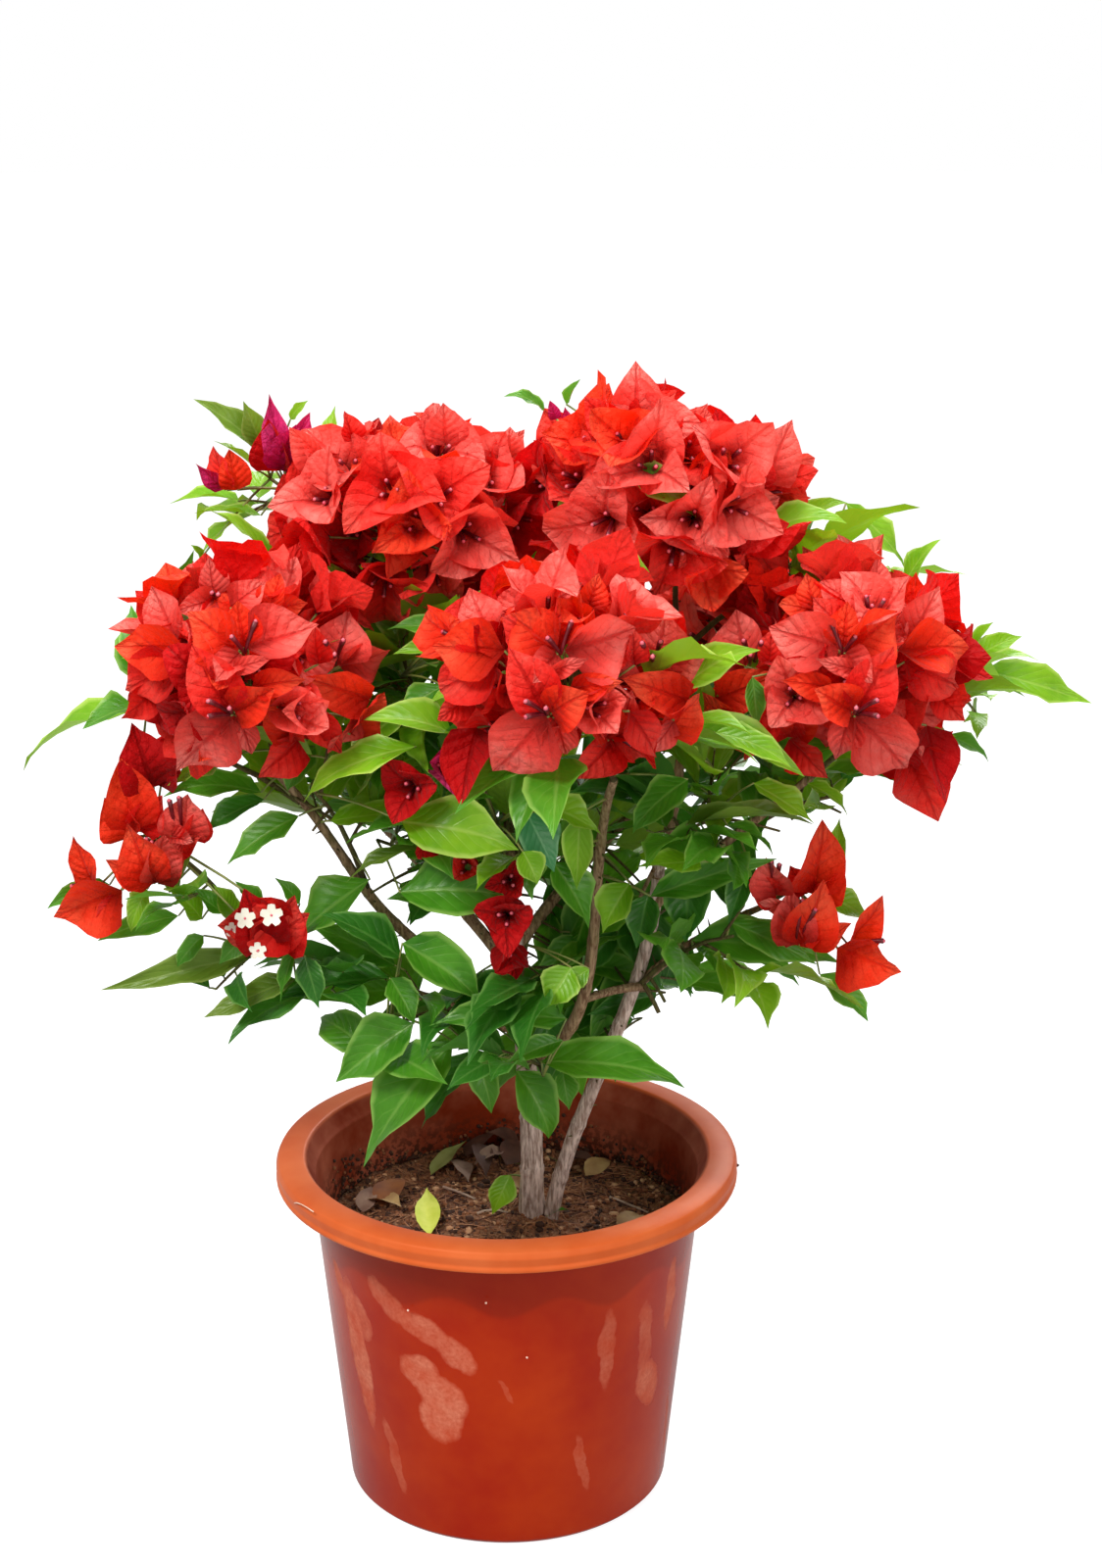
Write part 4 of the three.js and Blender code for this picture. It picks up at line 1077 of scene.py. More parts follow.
# %% Flowers that are set one by one
# The letters c and k give the coral painted highlight and the crimson painted shade.
BRACT_TINT = {"s": "scarlet", "c": "coral", "f": "flame", "k": "crimson", "m": "magenta"}
SET_FLOWERS = {
    "flower_head_top_left": [
        (-92, -6, 677, -0.2, -0.7, 0.6, 44, 1.1, 150, "c"),
        (-99, -23, 663, -0.5, -0.8, 0.3, 42, 1, 200, "c"), (-40, 2, 683, 0.1, -0.6, 0.8, 42, 0.9, 90, "c"),
        (-13, 0, 670, 0.3, -0.7, 0.6, 42, 1, 60, "c"), (-65, -33, 669, -0.1, -0.9, 0.4, 46, 1.1, 230, "s"),
        (-51, -41, 653, 0.1, -1.0, 0.3, 44, 0.9, 100, "f"),
        (-26, -32, 648, 0.4, -0.9, 0.0, 44, 1, 330, "c"),
        (-105, -19, 640, -0.6, -0.8, -0.2, 44, 1, 190, "s"),
        (-70, -24, 625, -0.1, -0.8, -0.6, 46, 1, 270, "s"),
        (-44, -28, 629, 0.2, -0.8, -0.5, 40, 0.9, 300, "c"),
        (-1, 5, 649, 0.7, -0.7, -0.1, 42, 0.9, 0, "k"), (-74, -8, 682, -0.2, -0.6, 0.8, 40, 0.9, 120, "f"),
        (-6, 30, 670, 0.6, -0.6, 0.6, 40, 1, 40, "c"),
        (-94, -14, 627, -0.4, -0.7, -0.6, 38, 0.9, 220, "k"),
        (-22, 2, 623, 0.3, -0.7, -0.6, 40, 0.9, 280, "k"), (-39, -32, 666, 0.2, -0.9, 0.4, 42, 1, 20, "s"),
    ],
    "flower_head_top_right": [
        (87, -13, 700, -0.1, -0.7, 0.7, 46, 1, 110, "c"),
        (88, -37, 684, -0.1, -0.9, 0.5, 48, 1.1, 200, "c"),
        (67, -33, 657, -0.4, -0.9, -0.1, 50, 1.15, 190, "c"),
        (130, -29, 686, 0.4, -0.8, 0.5, 46, 1, 30, "c"), (132, -39, 664, 0.4, -0.9, 0.1, 46, 1, 320, "c"),
        (117, -34, 636, 0.2, -0.8, -0.5, 44, 0.6, 270, "f"),
        (102, -43, 645, 0.0, -0.9, -0.4, 44, 0.9, 250, "s"),
        (61, 1, 689, -0.4, -0.6, 0.6, 44, 0.9, 85, "f"), (42, 15, 683, -0.6, -0.6, 0.5, 42, 1, 130, "s"),
        (36, 11, 669, -0.8, -0.6, 0.1, 42, 0.9, 200, "k"),
        (147, -16, 644, 0.6, -0.7, -0.4, 42, 0.9, 300, "s"),
        (77, -24, 691, -0.2, -0.8, 0.6, 42, 0.8, 270, "f"),
        (50, -3, 670, -0.6, -0.8, 0.3, 42, 0.9, 150, "s"),
        (75, -5, 625, -0.2, -0.7, -0.7, 40, 0.9, 240, "k"),
        (108, -29, 693, 0.2, -0.8, 0.6, 44, 0.9, 60, "s"),
        (44, -1, 637, -0.5, -0.7, -0.5, 40, 0.9, 220, "s"),
    ],
    "leaves_middle": [
        (4, -90, 446, 0.0, -1.0, 0.3, 20, 0.8, 70, "k"), (3, -92, 425, -0.1, -1.0, 0.2, 33, 1, 160, "k"),
        (2, -88, 408, 0.1, -0.5, -0.9, 27, 0.3, 250, "k"),
        (-20, -86, 453, -0.2, -0.9, 0.3, 22, 0.6, 120, "s"),
    ],
    "leaves_mid_left": [
        (-50, -102, 510, -0.2, -1.0, 0.1, 34, 0.9, 10, "k"),
        (-44, -86, 476, 0.2, -0.9, -0.2, 24, 0.8, 200, "k"),
        (-37, -100, 519, 0.4, -0.9, 0.4, 26, 0.8, 40, "m"),
    ],
}


set_count = 0
for name, rows in SET_FLOWERS.items():
    for number, (*spots, size, opening, turn, letter) in enumerate(rows):
        draw = dice(SEEDS["set_flowers"] + 100 * len(name) + number)
        seat, facing = two_ends(spots)
        facing = unit(facing)
        look = (size, opening, math.radians(turn), BRACT_TINT[letter])
        for attempt in range(9):
            tried = seat + facing * 2.5 * attempt * (-1 if attempt % 2 else 1)
            if grow_flower(tried, facing, *look, draw, 0.5 - 0.06 * attempt):
                add_stalk(by_name[name], tried)
                set_count += 1
                break
print("flowers set one by one:", set_count, "of", sum(len(rows) for rows in SET_FLOWERS.values()))

# %% [markdown]
# The three nearest heads, the low clusters at either side, the magenta bloom and red bud at the top
# left and the white-eyed flower are seen so plainly that each bract is set by itself. So are the
# bracts along the top of the two upper heads, which draw their outline. A row gives a bract's root
# and tip, its half width as a share of its length, and its tint. A stalk joins each root to its
# shoot. Tubes are set in the same way, and so are four tubes whose white stars are open.

# %% Rows for bracts and tubes
SET_BRACTS = {
    "flower_head_left": [
        (-188, -102, 597, -204, -87, 626, 0.37, "c"), (-166, -87, 618, -189, -97, 613, 0.35, "c"),
        (-168, -76, 617, -172, -67, 638, 0.43, "c"), (-156, -102, 617, -137, -91, 629, 0.38, "c"),
        (-134, -96, 614, -128, -87, 633, 0.40, "f"), (-134, -95, 614, -113, -87, 616, 0.39, "f"),
        (-180, -119, 596, -223, -101, 594, 0.37, "f"), (-183, -118, 589, -221, -101, 567, 0.37, "s"),
        (-204, -95, 564, -222, -104, 551, 0.40, "s"), (-149, -130, 599, -177, -114, 618, 0.45, "f"),
        (-147, -128, 600, -150, -117, 624, 0.49, "f"), (-144, -129, 599, -106, -111, 608, 0.44, "c"),
        (-148, -133, 598, -162, -142, 584, 0.48, "c"), (-152, -139, 590, -129, -143, 598, 0.21, "c"),
        (-155, -136, 564, -174, -138, 603, 0.36, "s"), (-154, -136, 562, -189, -122, 524, 0.39, "c"),
        (-152, -136, 564, -130, -147, 580, 0.45, "f"), (-152, -133, 561, -145, -122, 533, 0.37, "c"),
        (-123, -102, 538, -133, -116, 574, 0.26, "f"), (-119, -100, 538, -108, -113, 573, 0.32, "s"),
        (-120, -97, 536, -142, -110, 517, 0.40, "s"), (-96, -80, 576, -91, -68, 607, 0.54, "c"),
        (-95, -79, 575, -66, -75, 584, 0.44, "c"), (-77, -92, 559, -114, -109, 577, 0.29, "f"),
        (-110, -102, 555, -94, -106, 529, 0.32, "s"), (-84, -97, 549, -101, -107, 530, 0.29, "c"),
        (-89, -99, 540, -71, -88, 563, 0.44, "f"), (-106, -109, 585, -108, -110, 608, 0.31, "s"),
        (-142, -133, 578, -112, -131, 582, 0.28, "f"),
    ],
    "flower_head_front": [
        (-4, -156, 610, -18, -141, 638, 0.39, "c"), (18, -127, 627, -5, -138, 623, 0.35, "c"),
        (18, -125, 628, 15, -118, 650, 0.46, "c"), (27, -153, 629, 46, -143, 641, 0.38, "c"),
        (49, -150, 627, 55, -141, 646, 0.41, "f"), (49, -149, 627, 70, -142, 629, 0.40, "f"),
        (3, -174, 610, -37, -157, 608, 0.40, "f"), (0, -174, 604, -35, -158, 582, 0.40, "s"),
        (-17, -149, 578, -35, -156, 565, 0.41, "s"), (32, -188, 614, 5, -172, 632, 0.47, "f"),
        (33, -186, 614, 31, -175, 638, 0.51, "f"), (36, -188, 614, 74, -171, 623, 0.44, "c"),
        (32, -191, 613, 18, -201, 599, 0.49, "c"), (28, -199, 605, 49, -204, 614, 0.22, "c"),
        (26, -201, 582, 6, -194, 617, 0.38, "s"), (27, -201, 580, -4, -182, 542, 0.39, "c"),
        (29, -201, 582, 49, -211, 597, 0.49, "f"), (30, -199, 579, 38, -191, 554, 0.40, "c"),
        (61, -169, 557, 49, -183, 592, 0.27, "f"), (65, -162, 556, 73, -175, 590, 0.34, "s"),
        (-13, -154, 560, -22, -174, 519, 0.32, "k"), (64, -159, 554, 43, -169, 535, 0.41, "s"),
        (88, -145, 593, 93, -134, 623, 0.57, "c"), (89, -145, 592, 117, -143, 601, 0.46, "c"),
        (106, -159, 577, 68, -176, 595, 0.29, "f"), (72, -183, 578, 89, -171, 547, 0.27, "s"),
        (98, -163, 567, 82, -171, 549, 0.31, "c"), (94, -164, 559, 111, -155, 581, 0.46, "f"),
        (75, -174, 602, 73, -171, 623, 0.33, "s"), (39, -195, 594, 68, -196, 599, 0.29, "f"),
    ],
    "flower_head_right": [
        (238, -84, 529, 261, -84, 481, 0.34, "s"), (227, -88, 535, 245, -88, 508, 0.4, "k"),
        (239, -82, 591, 255, -67, 621, 0.37, "c"), (219, -49, 608, 242, -59, 604, 0.34, "c"),
        (220, -46, 610, 223, -39, 632, 0.44, "c"), (207, -77, 611, 187, -67, 624, 0.37, "c"),
        (184, -72, 608, 179, -63, 628, 0.39, "f"), (185, -71, 608, 163, -62, 609, 0.38, "f"),
        (230, -99, 591, 274, -82, 588, 0.37, "f"), (234, -100, 584, 272, -83, 562, 0.37, "s"),
        (255, -76, 559, 273, -86, 545, 0.40, "s"), (199, -111, 594, 228, -95, 613, 0.44, "f"),
        (198, -109, 595, 200, -98, 619, 0.48, "f"), (195, -111, 594, 156, -93, 603, 0.43, "c"),
        (198, -114, 593, 213, -124, 578, 0.48, "c"), (203, -122, 585, 180, -126, 593, 0.21, "c"),
        (205, -121, 559, 225, -119, 598, 0.36, "s"), (204, -121, 557, 240, -104, 519, 0.37, "c"),
        (202, -122, 560, 180, -131, 576, 0.45, "f"), (202, -119, 557, 195, -108, 529, 0.37, "c"),
        (173, -84, 533, 183, -99, 569, 0.26, "f"), (169, -82, 533, 158, -95, 568, 0.32, "s"),
        (251, -81, 540, 259, -101, 497, 0.31, "k"), (170, -79, 531, 192, -92, 511, 0.39, "s"),
        (145, -61, 571, 140, -48, 602, 0.54, "c"), (144, -60, 570, 115, -56, 579, 0.44, "c"),
        (126, -74, 554, 163, -91, 572, 0.29, "f"), (159, -95, 553, 143, -89, 523, 0.29, "s"),
        (134, -79, 543, 150, -89, 525, 0.29, "c"), (139, -82, 535, 120, -70, 558, 0.43, "f"),
        (156, -92, 580, 158, -90, 602, 0.31, "s"), (192, -117, 573, 162, -114, 577, 0.28, "f"),
    ],
    "spray_low_left": [
        (-212, -54, 493, -223, -58, 535, 0.42, "k"), (-208, -52, 493, -199, -56, 531, 0.4, "k"),
        (-223, -64, 469, -229, -68, 515, 0.38, "f"), (-226, -60, 463, -240, -64, 490, 0.4, "f"),
        (-222, -60, 468, -206, -64, 490, 0.42, "s"), (-195, -62, 461, -190, -66, 492, 0.5, "c"),
        (-192, -60, 462, -181, -64, 481, 0.5, "s"), (-205, -58, 454, -182, -62, 467, 0.36, "s"),
        (-201, -66, 466, -187, -70, 463, 0.4, "c"), (-211, -66, 436, -205, -70, 470, 0.4, "c"),
        (-212, -68, 436, -226, -72, 476, 0.38, "f"), (-214, -62, 434, -241, -66, 450, 0.28, "f"),
        (-210, -63, 434, -194, -67, 463, 0.3, "c"), (-249, -56, 429, -264, -60, 461, 0.26, "f"),
        (-233, -60, 429, -275, -64, 412, 0.42, "f"), (-236, -58, 425, -251, -62, 410, 0.34, "s"),
        (-127, -74, 410, -173, -82, 415, 0.4, "s"), (-144, -78, 400, -156, -83, 438, 0.44, "k"),
    ],
    "spray_low_right": [
        (189, -66, 429, 192, -70, 478, 0.36, "f"), (192, -62, 427, 206, -66, 448, 0.38, "f"),
        (185, -60, 427, 174, -64, 446, 0.42, "s"), (166, -64, 427, 159, -68, 453, 0.5, "c"),
        (167, -62, 427, 149, -66, 437, 0.5, "s"), (174, -67, 421, 155, -71, 425, 0.4, "c"),
        (179, -70, 397, 174, -74, 433, 0.38, "c"), (180, -72, 397, 193, -76, 440, 0.36, "f"),
        (183, -66, 399, 211, -70, 413, 0.26, "f"), (179, -68, 397, 167, -72, 421, 0.28, "c"),
        (212, -62, 393, 230, -66, 428, 0.27, "f"), (204, -64, 393, 243, -68, 380, 0.42, "f"),
        (206, -60, 389, 223, -64, 374, 0.36, "c"),
    ],
    "spray_top_left": [
        (-139, 40, 669, -144, 36, 717, 0.2, "m"), (-141, 38, 669, -144, 34, 703, 0.36, "k"),
        (-136, 36, 670, -119, 32, 706, 0.26, "m"), (-135, 31, 670, -127, 27, 700, 0.46, "m"),
        (-127, 33, 667, -120, 29, 687, 0.46, "k"), (-172, 38, 657, -179, 34, 685, 0.38, "s"),
        (-165, 34, 658, -169, 30, 683, 0.42, "f"), (-174, 40, 657, -190, 36, 676, 0.22, "m"),
    ],
    "leaves_far_left": [
        (-146, -72, 404, -158, -76, 429, 0.5, "k"), (-145, -71, 403, -127, -75, 433, 0.5, "s"),
        (-144, -73, 402, -118, -77, 420, 0.42, "s"), (-153, -70, 400, -172, -74, 413, 0.36, "c"),
        (-145, -70, 406, -139, -74, 391, 0.42, "k"),
    ],
    "flower_head_top_right": [
        (32, 12, 706, 28, 10, 718, 0.3, "m"), (42, 12, 702, 37, 8, 714, 0.3, "m"),
        (60, -14, 700, 57, -14, 740, 0.34, "f"), (80, -10, 705, 79, -10, 744, 0.42, "c"),
        (83, -12, 703, 103, -12, 728, 0.4, "s"), (155, -12, 672, 175, -12, 708, 0.4, "c"),
        (145, -16, 668, 150, -16, 704, 0.4, "s"), (69, -12, 703, 49, -12, 724, 0.4, "s"),
        (110, 0, 695, 123, 0, 718, 0.42, "c"),
    ],
    "flower_head_top_left": [
        (-108, -10, 685, -127, -10, 706, 0.42, "c"), (-90, -6, 696, -95, -6, 714, 0.42, "s"),
        (-34, -6, 693, -36, -6, 719, 0.48, "c"), (3, 6, 682, 4, 6, 702, 0.46, "c"),
    ],
}
SET_TUBES = {
    "flower_head_left": [
        (-146, -130, 597, -152, -138, 609), (-146, -130, 597, -139, -130, 616),
        (-99, -88, 581, -101, -115, 600), (-98, -79, 578, -92, -96, 596),
        (-98, -80, 577, -96, -113, 592), (-155, -135, 563, -165, -152, 575),
        (-154, -135, 563, -153, -153, 571), (-155, -135, 562, -166, -149, 565),
        (-167, -84, 616, -167, -99, 625), (-167, -85, 617, -163, -103, 625),
    ],
    "flower_head_front": [
        (34, -189, 612, 27, -195, 623), (34, -189, 612, 40, -187, 630), (84, -157, 599, 79, -179, 616),
        (87, -144, 595, 90, -161, 612), (86, -150, 595, 85, -178, 608), (26, -200, 581, 15, -213, 592),
        (27, -200, 581, 26, -216, 589), (26, -200, 581, 15, -212, 583), (18, -128, 627, 16, -147, 636),
        (18, -128, 627, 19, -154, 636),
    ],
    "flower_head_right": [
        (197, -112, 592, 203, -119, 604), (197, -112, 592, 190, -110, 610),
        (149, -73, 577, 151, -97, 595), (147, -60, 573, 142, -78, 591), (147, -64, 573, 145, -95, 587),
        (205, -121, 559, 215, -136, 571), (204, -121, 559, 203, -138, 567),
        (205, -120, 558, 216, -134, 561), (219, -49, 608, 219, -71, 618), (219, -49, 608, 215, -78, 618),
    ],
    "spray_low_left": [
        (-211, -66, 439, -215, -72, 466), (-214, -64, 440, -222, -70, 458),
        (-210, -66, 439, -212, -72, 464), (-199, -62, 469, -201, -68, 489),
        (-195, -62, 469, -195, -68, 491), (-247, -58, 431, -263, -64, 433),
    ],
    "spray_low_right": [
        (178, -72, 402, 181, -78, 429), (181, -70, 403, 189, -76, 422), (178, -70, 401, 178, -76, 424),
        (164, -64, 433, 162, -70, 451), (166, -64, 433, 167, -70, 449), (217, -62, 395, 232, -68, 399),
    ],
}
OPEN_ENDS = [(-139.2, -91, 424, 7.2), (-155.1, -91, 422, 6.6), (-148.6, -88, 400, 5.6), (-164, -86, 413, 4.6)]
print("rows of bracts:", {name: len(rows) for name, rows in SET_BRACTS.items()})

# %% [markdown]
# A set bract turns its face to the viewer, a little outwards from its head's middle and a little
# up. A white star leans towards the viewer on the end of its tube.

# %% Bracts that are set one by one
for name, rows in SET_BRACTS.items():
    middle = by_name[name]["tip"]
    for number, (*ends, half, letter) in enumerate(rows):
        draw = dice(SEEDS["set_bracts"] + 100 * len(name) + number)
        root, tip = two_ends(ends)
        axis = unit(tip - root)
        face = square_to(mixed((NORTH, -1.0), (unit(root - middle), 0.5), (UP, draw(-0.1, 0.4)),
                               (np.cross(axis, NORTH), draw(-0.4, 0.4))), axis)
        angles = draw(-0.15, 0.1) + draw(-0.2, 0.3) * ALONG ** 2
        length = np.linalg.norm(tip - root) * 1.02
        points = bract_blade(root, axis, face, length, half * draw(0.92, 1.04), angles, draw, 0.25)
        crown.add_untried(points)
        bracts[BRACT_TINT[letter]].append(points)
        add_stalk(by_name[name], root)
for ends in sum(SET_TUBES.values(), []):
    foot, top = two_ends(ends)
    grown["tubes"].append(rod_along(arched(foot, top, 0.08), 1.0, 1.8))
    grown["tube_tips"].append(top + CRUMB.points * 1.4)
lean = unit(spot(0.1, -1.0, 0.35))
face_side, face_up = cross_directions(lean)
for *end, radius in OPEN_ENDS:
    end = spot(*end)
    star = STAR.points * radius
    grown["true_flowers"].append(end + star[:, :1] * face_side + star[:, 1:2] * face_up + star[:, 2:] * lean)
    grown["tubes"].append(rod_along(arched(end - lean * 13, end, 0.05), 0.8, 1.6))
    grown["tube_tips"].append(end + lean * 0.3 + CRUMB.points * 0.9)
print("bracts set one by one:", sum(len(rows) for rows in SET_BRACTS.values()))

# %% [markdown]
# Leaves that stand out are set one by one as well: the long ones that hang over the rim, the fringe
# at either side, the young ones between the heads, two small ones at the foot of the stems, and
# three behind, which reach as far back as the model's. Each row gives the leaf's root and tip, its
# half width as a share of its length, and its tint. A leaf that would cross another moves back or
# forward, and a thin twig joins it to the nearest shoot or limb.

# %% Rows for leaves
LEAF_TINT = {"f": "fresh", "m": "mid", "d": "deep", "o": "olive", "b": "bluish"}
SET_LEAVES = [
    (-221, -5, 529, -304, -11, 494, 0.19, "f"), (-161, -60, 514, -202, -66, 497, 0.22, "f"),
    (-147, -60, 490, -207, -66, 490, 0.18, "m"), (-146, -52, 483, -182, -58, 465, 0.22, "d"),
    (-123, -70, 480, -166, -76, 451, 0.22, "m"), (-113, -62, 521, -130, -68, 495, 0.36, "m"),
    (-206, -50, 424, -189, -56, 457, 0.24, "f"), (-218, -58, 429, -229, -64, 403, 0.22, "f"),
    (-201, -48, 408, -251, -54, 396, 0.16, "m"), (-243, -44, 427, -283, -50, 415, 0.16, "m"),
    (-186, -54, 408, -209, -60, 434, 0.27, "f"), (-173, -52, 411, -195, -58, 430, 0.22, "m"),
    (-167, -46, 406, -179, -52, 430, 0.3, "f"), (-150, -50, 413, -164, -56, 433, 0.27, "m"),
    (-126, -48, 416, -140, -54, 435, 0.22, "m"), (-185, -56, 398, -202, -62, 379, 0.24, "m"),
    (-158, -62, 400, -175, -68, 384, 0.27, "m"), (-151, -58, 385, -246, -64, 362, 0.1, "o"),
    (-128, -66, 373, -182, -72, 348, 0.19, "o"), (-127, -72, 397, -136, -78, 363, 0.16, "m"),
    (-121, -76, 392, -113, -82, 361, 0.27, "d"), (-71, -74, 371, -138, -80, 360, 0.22, "d"),
    (-82, -72, 435, -133, -78, 395, 0.27, "m"), (-62, -84, 394, -108, -90, 425, 0.27, "d"),
    (-61, -88, 405, -13, -94, 370, 0.26, "m"), (38, -100, 361, -44, -106, 363, 0.15, "m"),
    (-62, -92, 437, 11, -98, 436, 0.24, "m"), (-69, -84, 381, -55, -90, 353, 0.32, "m"),
    (-55, -88, 353, -101, -94, 317, 0.28, "m"), (-31, -92, 343, -86, -98, 262, 0.22, "m"),
    (-19, -80, 332, -51, -86, 283, 0.17, "d"), (-17, -66, 322, -8, -72, 286, 0.24, "m"),
    (7, -58, 309, 29, -64, 264, 0.27, "m"), (23, -94, 330, 111, -100, 320, 0.21, "m"),
    (36, -98, 346, 0, -104, 332, 0.18, "m"), (-5, -72, 344, -28, -78, 331, 0.3, "d"),
    (41, -98, 393, 26, -104, 370, 0.42, "f"), (52, -92, 390, 32, -98, 378, 0.28, "f"),
    (36, -44, 303, 40, -50, 279, 0.3, "m"), (-22, -70, 374, 20, -76, 360, 0.22, "d"),
    (-41, -96, 485, -93, -102, 475, 0.2, "m"), (-59, -112, 490, 11, -118, 476, 0.26, "f"),
    (-47, -88, 468, -95, -94, 449, 0.14, "o"), (-50, -108, 535, -120, -114, 507, 0.2, "f"),
    (-29, -98, 540, -81, -104, 548, 0.27, "f"), (14, -90, 489, 30, -96, 454, 0.34, "b"),
    (19, -96, 497, 58, -102, 479, 0.27, "f"), (12, -100, 471, 21, -106, 452, 0.42, "f"),
    (30, -86, 456, 52, -92, 416, 0.3, "m"), (46, -92, 488, 44, -98, 443, 0.22, "f"),
    (76, -84, 442, 59, -90, 412, 0.36, "f"), (109, -108, 515, 74, -114, 483, 0.26, "m"),
    (88, -70, 430, 81, -76, 398, 0.32, "d"), (107, -118, 545, 174, -124, 520, 0.22, "f"),
    (148, -100, 510, 183, -106, 487, 0.27, "f"), (189, -72, 507, 236, -78, 504, 0.15, "m"),
    (182, -78, 503, 207, -84, 483, 0.22, "f"), (109, -96, 483, 183, -102, 488, 0.18, "o"),
    (134, -84, 479, 163, -90, 462, 0.3, "m"), (89, -74, 430, 163, -80, 458, 0.12, "m"),
    (150, -62, 443, 138, -68, 409, 0.22, "d"), (114, -66, 444, 111, -72, 399, 0.3, "d"),
    (139, -62, 407, 191, -68, 382, 0.2, "m"), (116, -58, 390, 209, -64, 380, 0.16, "m"),
    (106, -52, 368, 166, -58, 360, 0.12, "m"), (194, -62, 375, 225, -68, 346, 0.22, "m"),
    (198, -48, 422, 226, -54, 407, 0.3, "f"), (204, -40, 439, 205, -46, 470, 0.22, "f"),
    (272, -20, 516, 300, -26, 500, 0.22, "m"), (299, 20, 546, 364, 14, 525, 0.17, "f"),
    (293, 20, 554, 321, 14, 569, 0.27, "f"), (295, 26, 559, 305, 20, 576, 0.27, "f"),
    (295, 14, 544, 324, 8, 531, 0.22, "f"), (178, 34, 633, 212, 28, 652, 0.22, "f"),
    (212, 42, 648, 251, 36, 608, 0.19, "f"), (172, 24, 628, 225, 18, 616, 0.14, "f"),
    (248, 20, 604, 266, 14, 632, 0.3, "f"), (-151, 46, 681, -161, 40, 712, 0.26, "o"),
    (-151, 42, 683, -189, 36, 714, 0.17, "o"), (-153, 40, 669, -179, 34, 688, 0.2, "f"),
    (-132, 44, 700, -120, 38, 713, 0.2, "f"), (-151, 34, 642, -191, 28, 645, 0.2, "f"),
    (-145, 28, 620, -181, 22, 649, 0.19, "f"), (-145, 24, 619, -173, 18, 620, 0.17, "m"),
    (-188, 20, 617, -192, 14, 628, 0.26, "f"), (25, 24, 709, 0, 18, 721, 0.19, "m"),
    (38, 30, 712, 47, 24, 728, 0.24, "m"), (-100, -20, 608, -106, -26, 628, 0.3, "f"),
    (-49, -30, 604, -30, -36, 622, 0.3, "f"), (-13, -60, 605, -4, -66, 622, 0.3, "f"),
    (73, -58, 684, 115, -64, 659, 0.22, "f"), (-25, -60, 593, -68, -66, 596, 0.2, "m"),
    (-22, -70, 578, -65, -76, 584, 0.2, "f"), (-35, -80, 564, -64, -86, 546, 0.26, "m"),
    (123, -110, 550, 166, -116, 529, 0.2, "f"), (146, -100, 575, 149, -106, 546, 0.22, "m"),
    (62, -60, 639, 86, -66, 632, 0.3, "f"), (2, 10, 206, -10, 2, 181, 0.3, "f"),
    (26, -2, 182, 40, 4, 184, 0.36, "d"), (8, 216, 553, 13, 280, 534, 0.25, "f"),
    (-14, 212, 549, -32, 262, 530, 0.27, "m"), (32, 210, 556, 60, 254, 544, 0.26, "f"),
]
print("rows of leaves:", len(SET_LEAVES))

# %% Leaves that are set one by one
for number, (*ends, half, letter) in enumerate(SET_LEAVES):
    draw = dice(SEEDS["set_leaves"] + number)
    root, tip = two_ends(ends)
    length = np.linalg.norm(tip - root) * 1.03
    axis = unit(tip - root)
    face = square_to(mixed((UP, 0.8), (NORTH, -0.55), (np.cross(axis, UP), draw(-0.5, 0.5))), axis)
    for attempt in range(6):
        moved = root + NORTH * 5 * attempt * (1 if attempt % 2 else -1)
        points = leaf_points(moved, axis, face, length, draw, half)
        free = crown.tried(points, LEAF_SHRUNK)
        if free:
            crown.add(*free)
            break
    if not free:
        crown.add_untried(points)
    leaves[LEAF_TINT[letter]].append(points)
    grown["stalks"].append(rod_along(arched(nearest_carrier(moved), moved, 0.08), 0.9, 0.6))
print("leaves set one by one:", len(SET_LEAVES))

# %% [markdown]
# In a head the flowers sit over a dome. Its sides and back are filled on a golden spiral that
# starts at its top, as in the model's source. A flower that would cross another sits deeper, and at
# last is left out, so the spiral also fills the gaps between the flowers above.

# %% The rest of the flower heads
FLOWERS_TO_EACH = 4.6
# The spray deals the coral painted highlight and the crimson painted shade among the bracts' own reds.
TINTS_OF_HEAD = ("scarlet", "coral", "coral", "scarlet", "flame", "scarlet", "coral", "flame", "crimson")


def dome_way(mass, number, count, draw):
    """Which way a flower's seat lies from its head's tip."""
    lean = mixed((UP, 0.8), (outward_at(mass["tip"]), 0.62))
    first, second = cross_directions(lean)
    down = 1 - ((number + 0.5) / count) * 1.5
    around = number * GOLDEN_ANGLE + draw(-0.2, 0.2)
    flat = math.sqrt(1 - down * down)
    return mixed((lean, down), (first, flat * math.cos(around)), (second, flat * math.sin(around)))


for mass in masses:
    if not mass["head"]:
        continue
    count = round(mass["flowers"] * FLOWERS_TO_EACH)
    placed = 0
    for number in range(count):
        draw = dice(1000 * mass["seed"] + number)
        way = dome_way(mass, number, count, draw)
        facing = mixed((way, 1), (UP, 0.25), (spot(draw(-1, 1), draw(-1, 1), draw(-0.7, 0.7)), 0.6))
        size = draw(34, 46)
        opening = draw(0.5, 1.2)
        tint = TINTS_OF_HEAD[int(draw(0, len(TINTS_OF_HEAD)))]
        near = way[1] < 0.1 and mass["name"] in SET_BRACTS
        reach = 0.8 if near else 0.94
        for attempt in range(12):
            seat = mass["tip"] + mass["dome"] * way * draw(reach - 0.12, reach) * (1 - 0.045 * attempt)
            smaller = size * (1 - 0.02 * attempt)
            if grow_flower(seat, facing, smaller, opening, draw(0, 2.1), tint, draw, FLOWER_SHRUNK):
                add_stalk(mass, seat)
                placed += 1
                break
    print(mass["name"], placed, "of", count, "flowers")

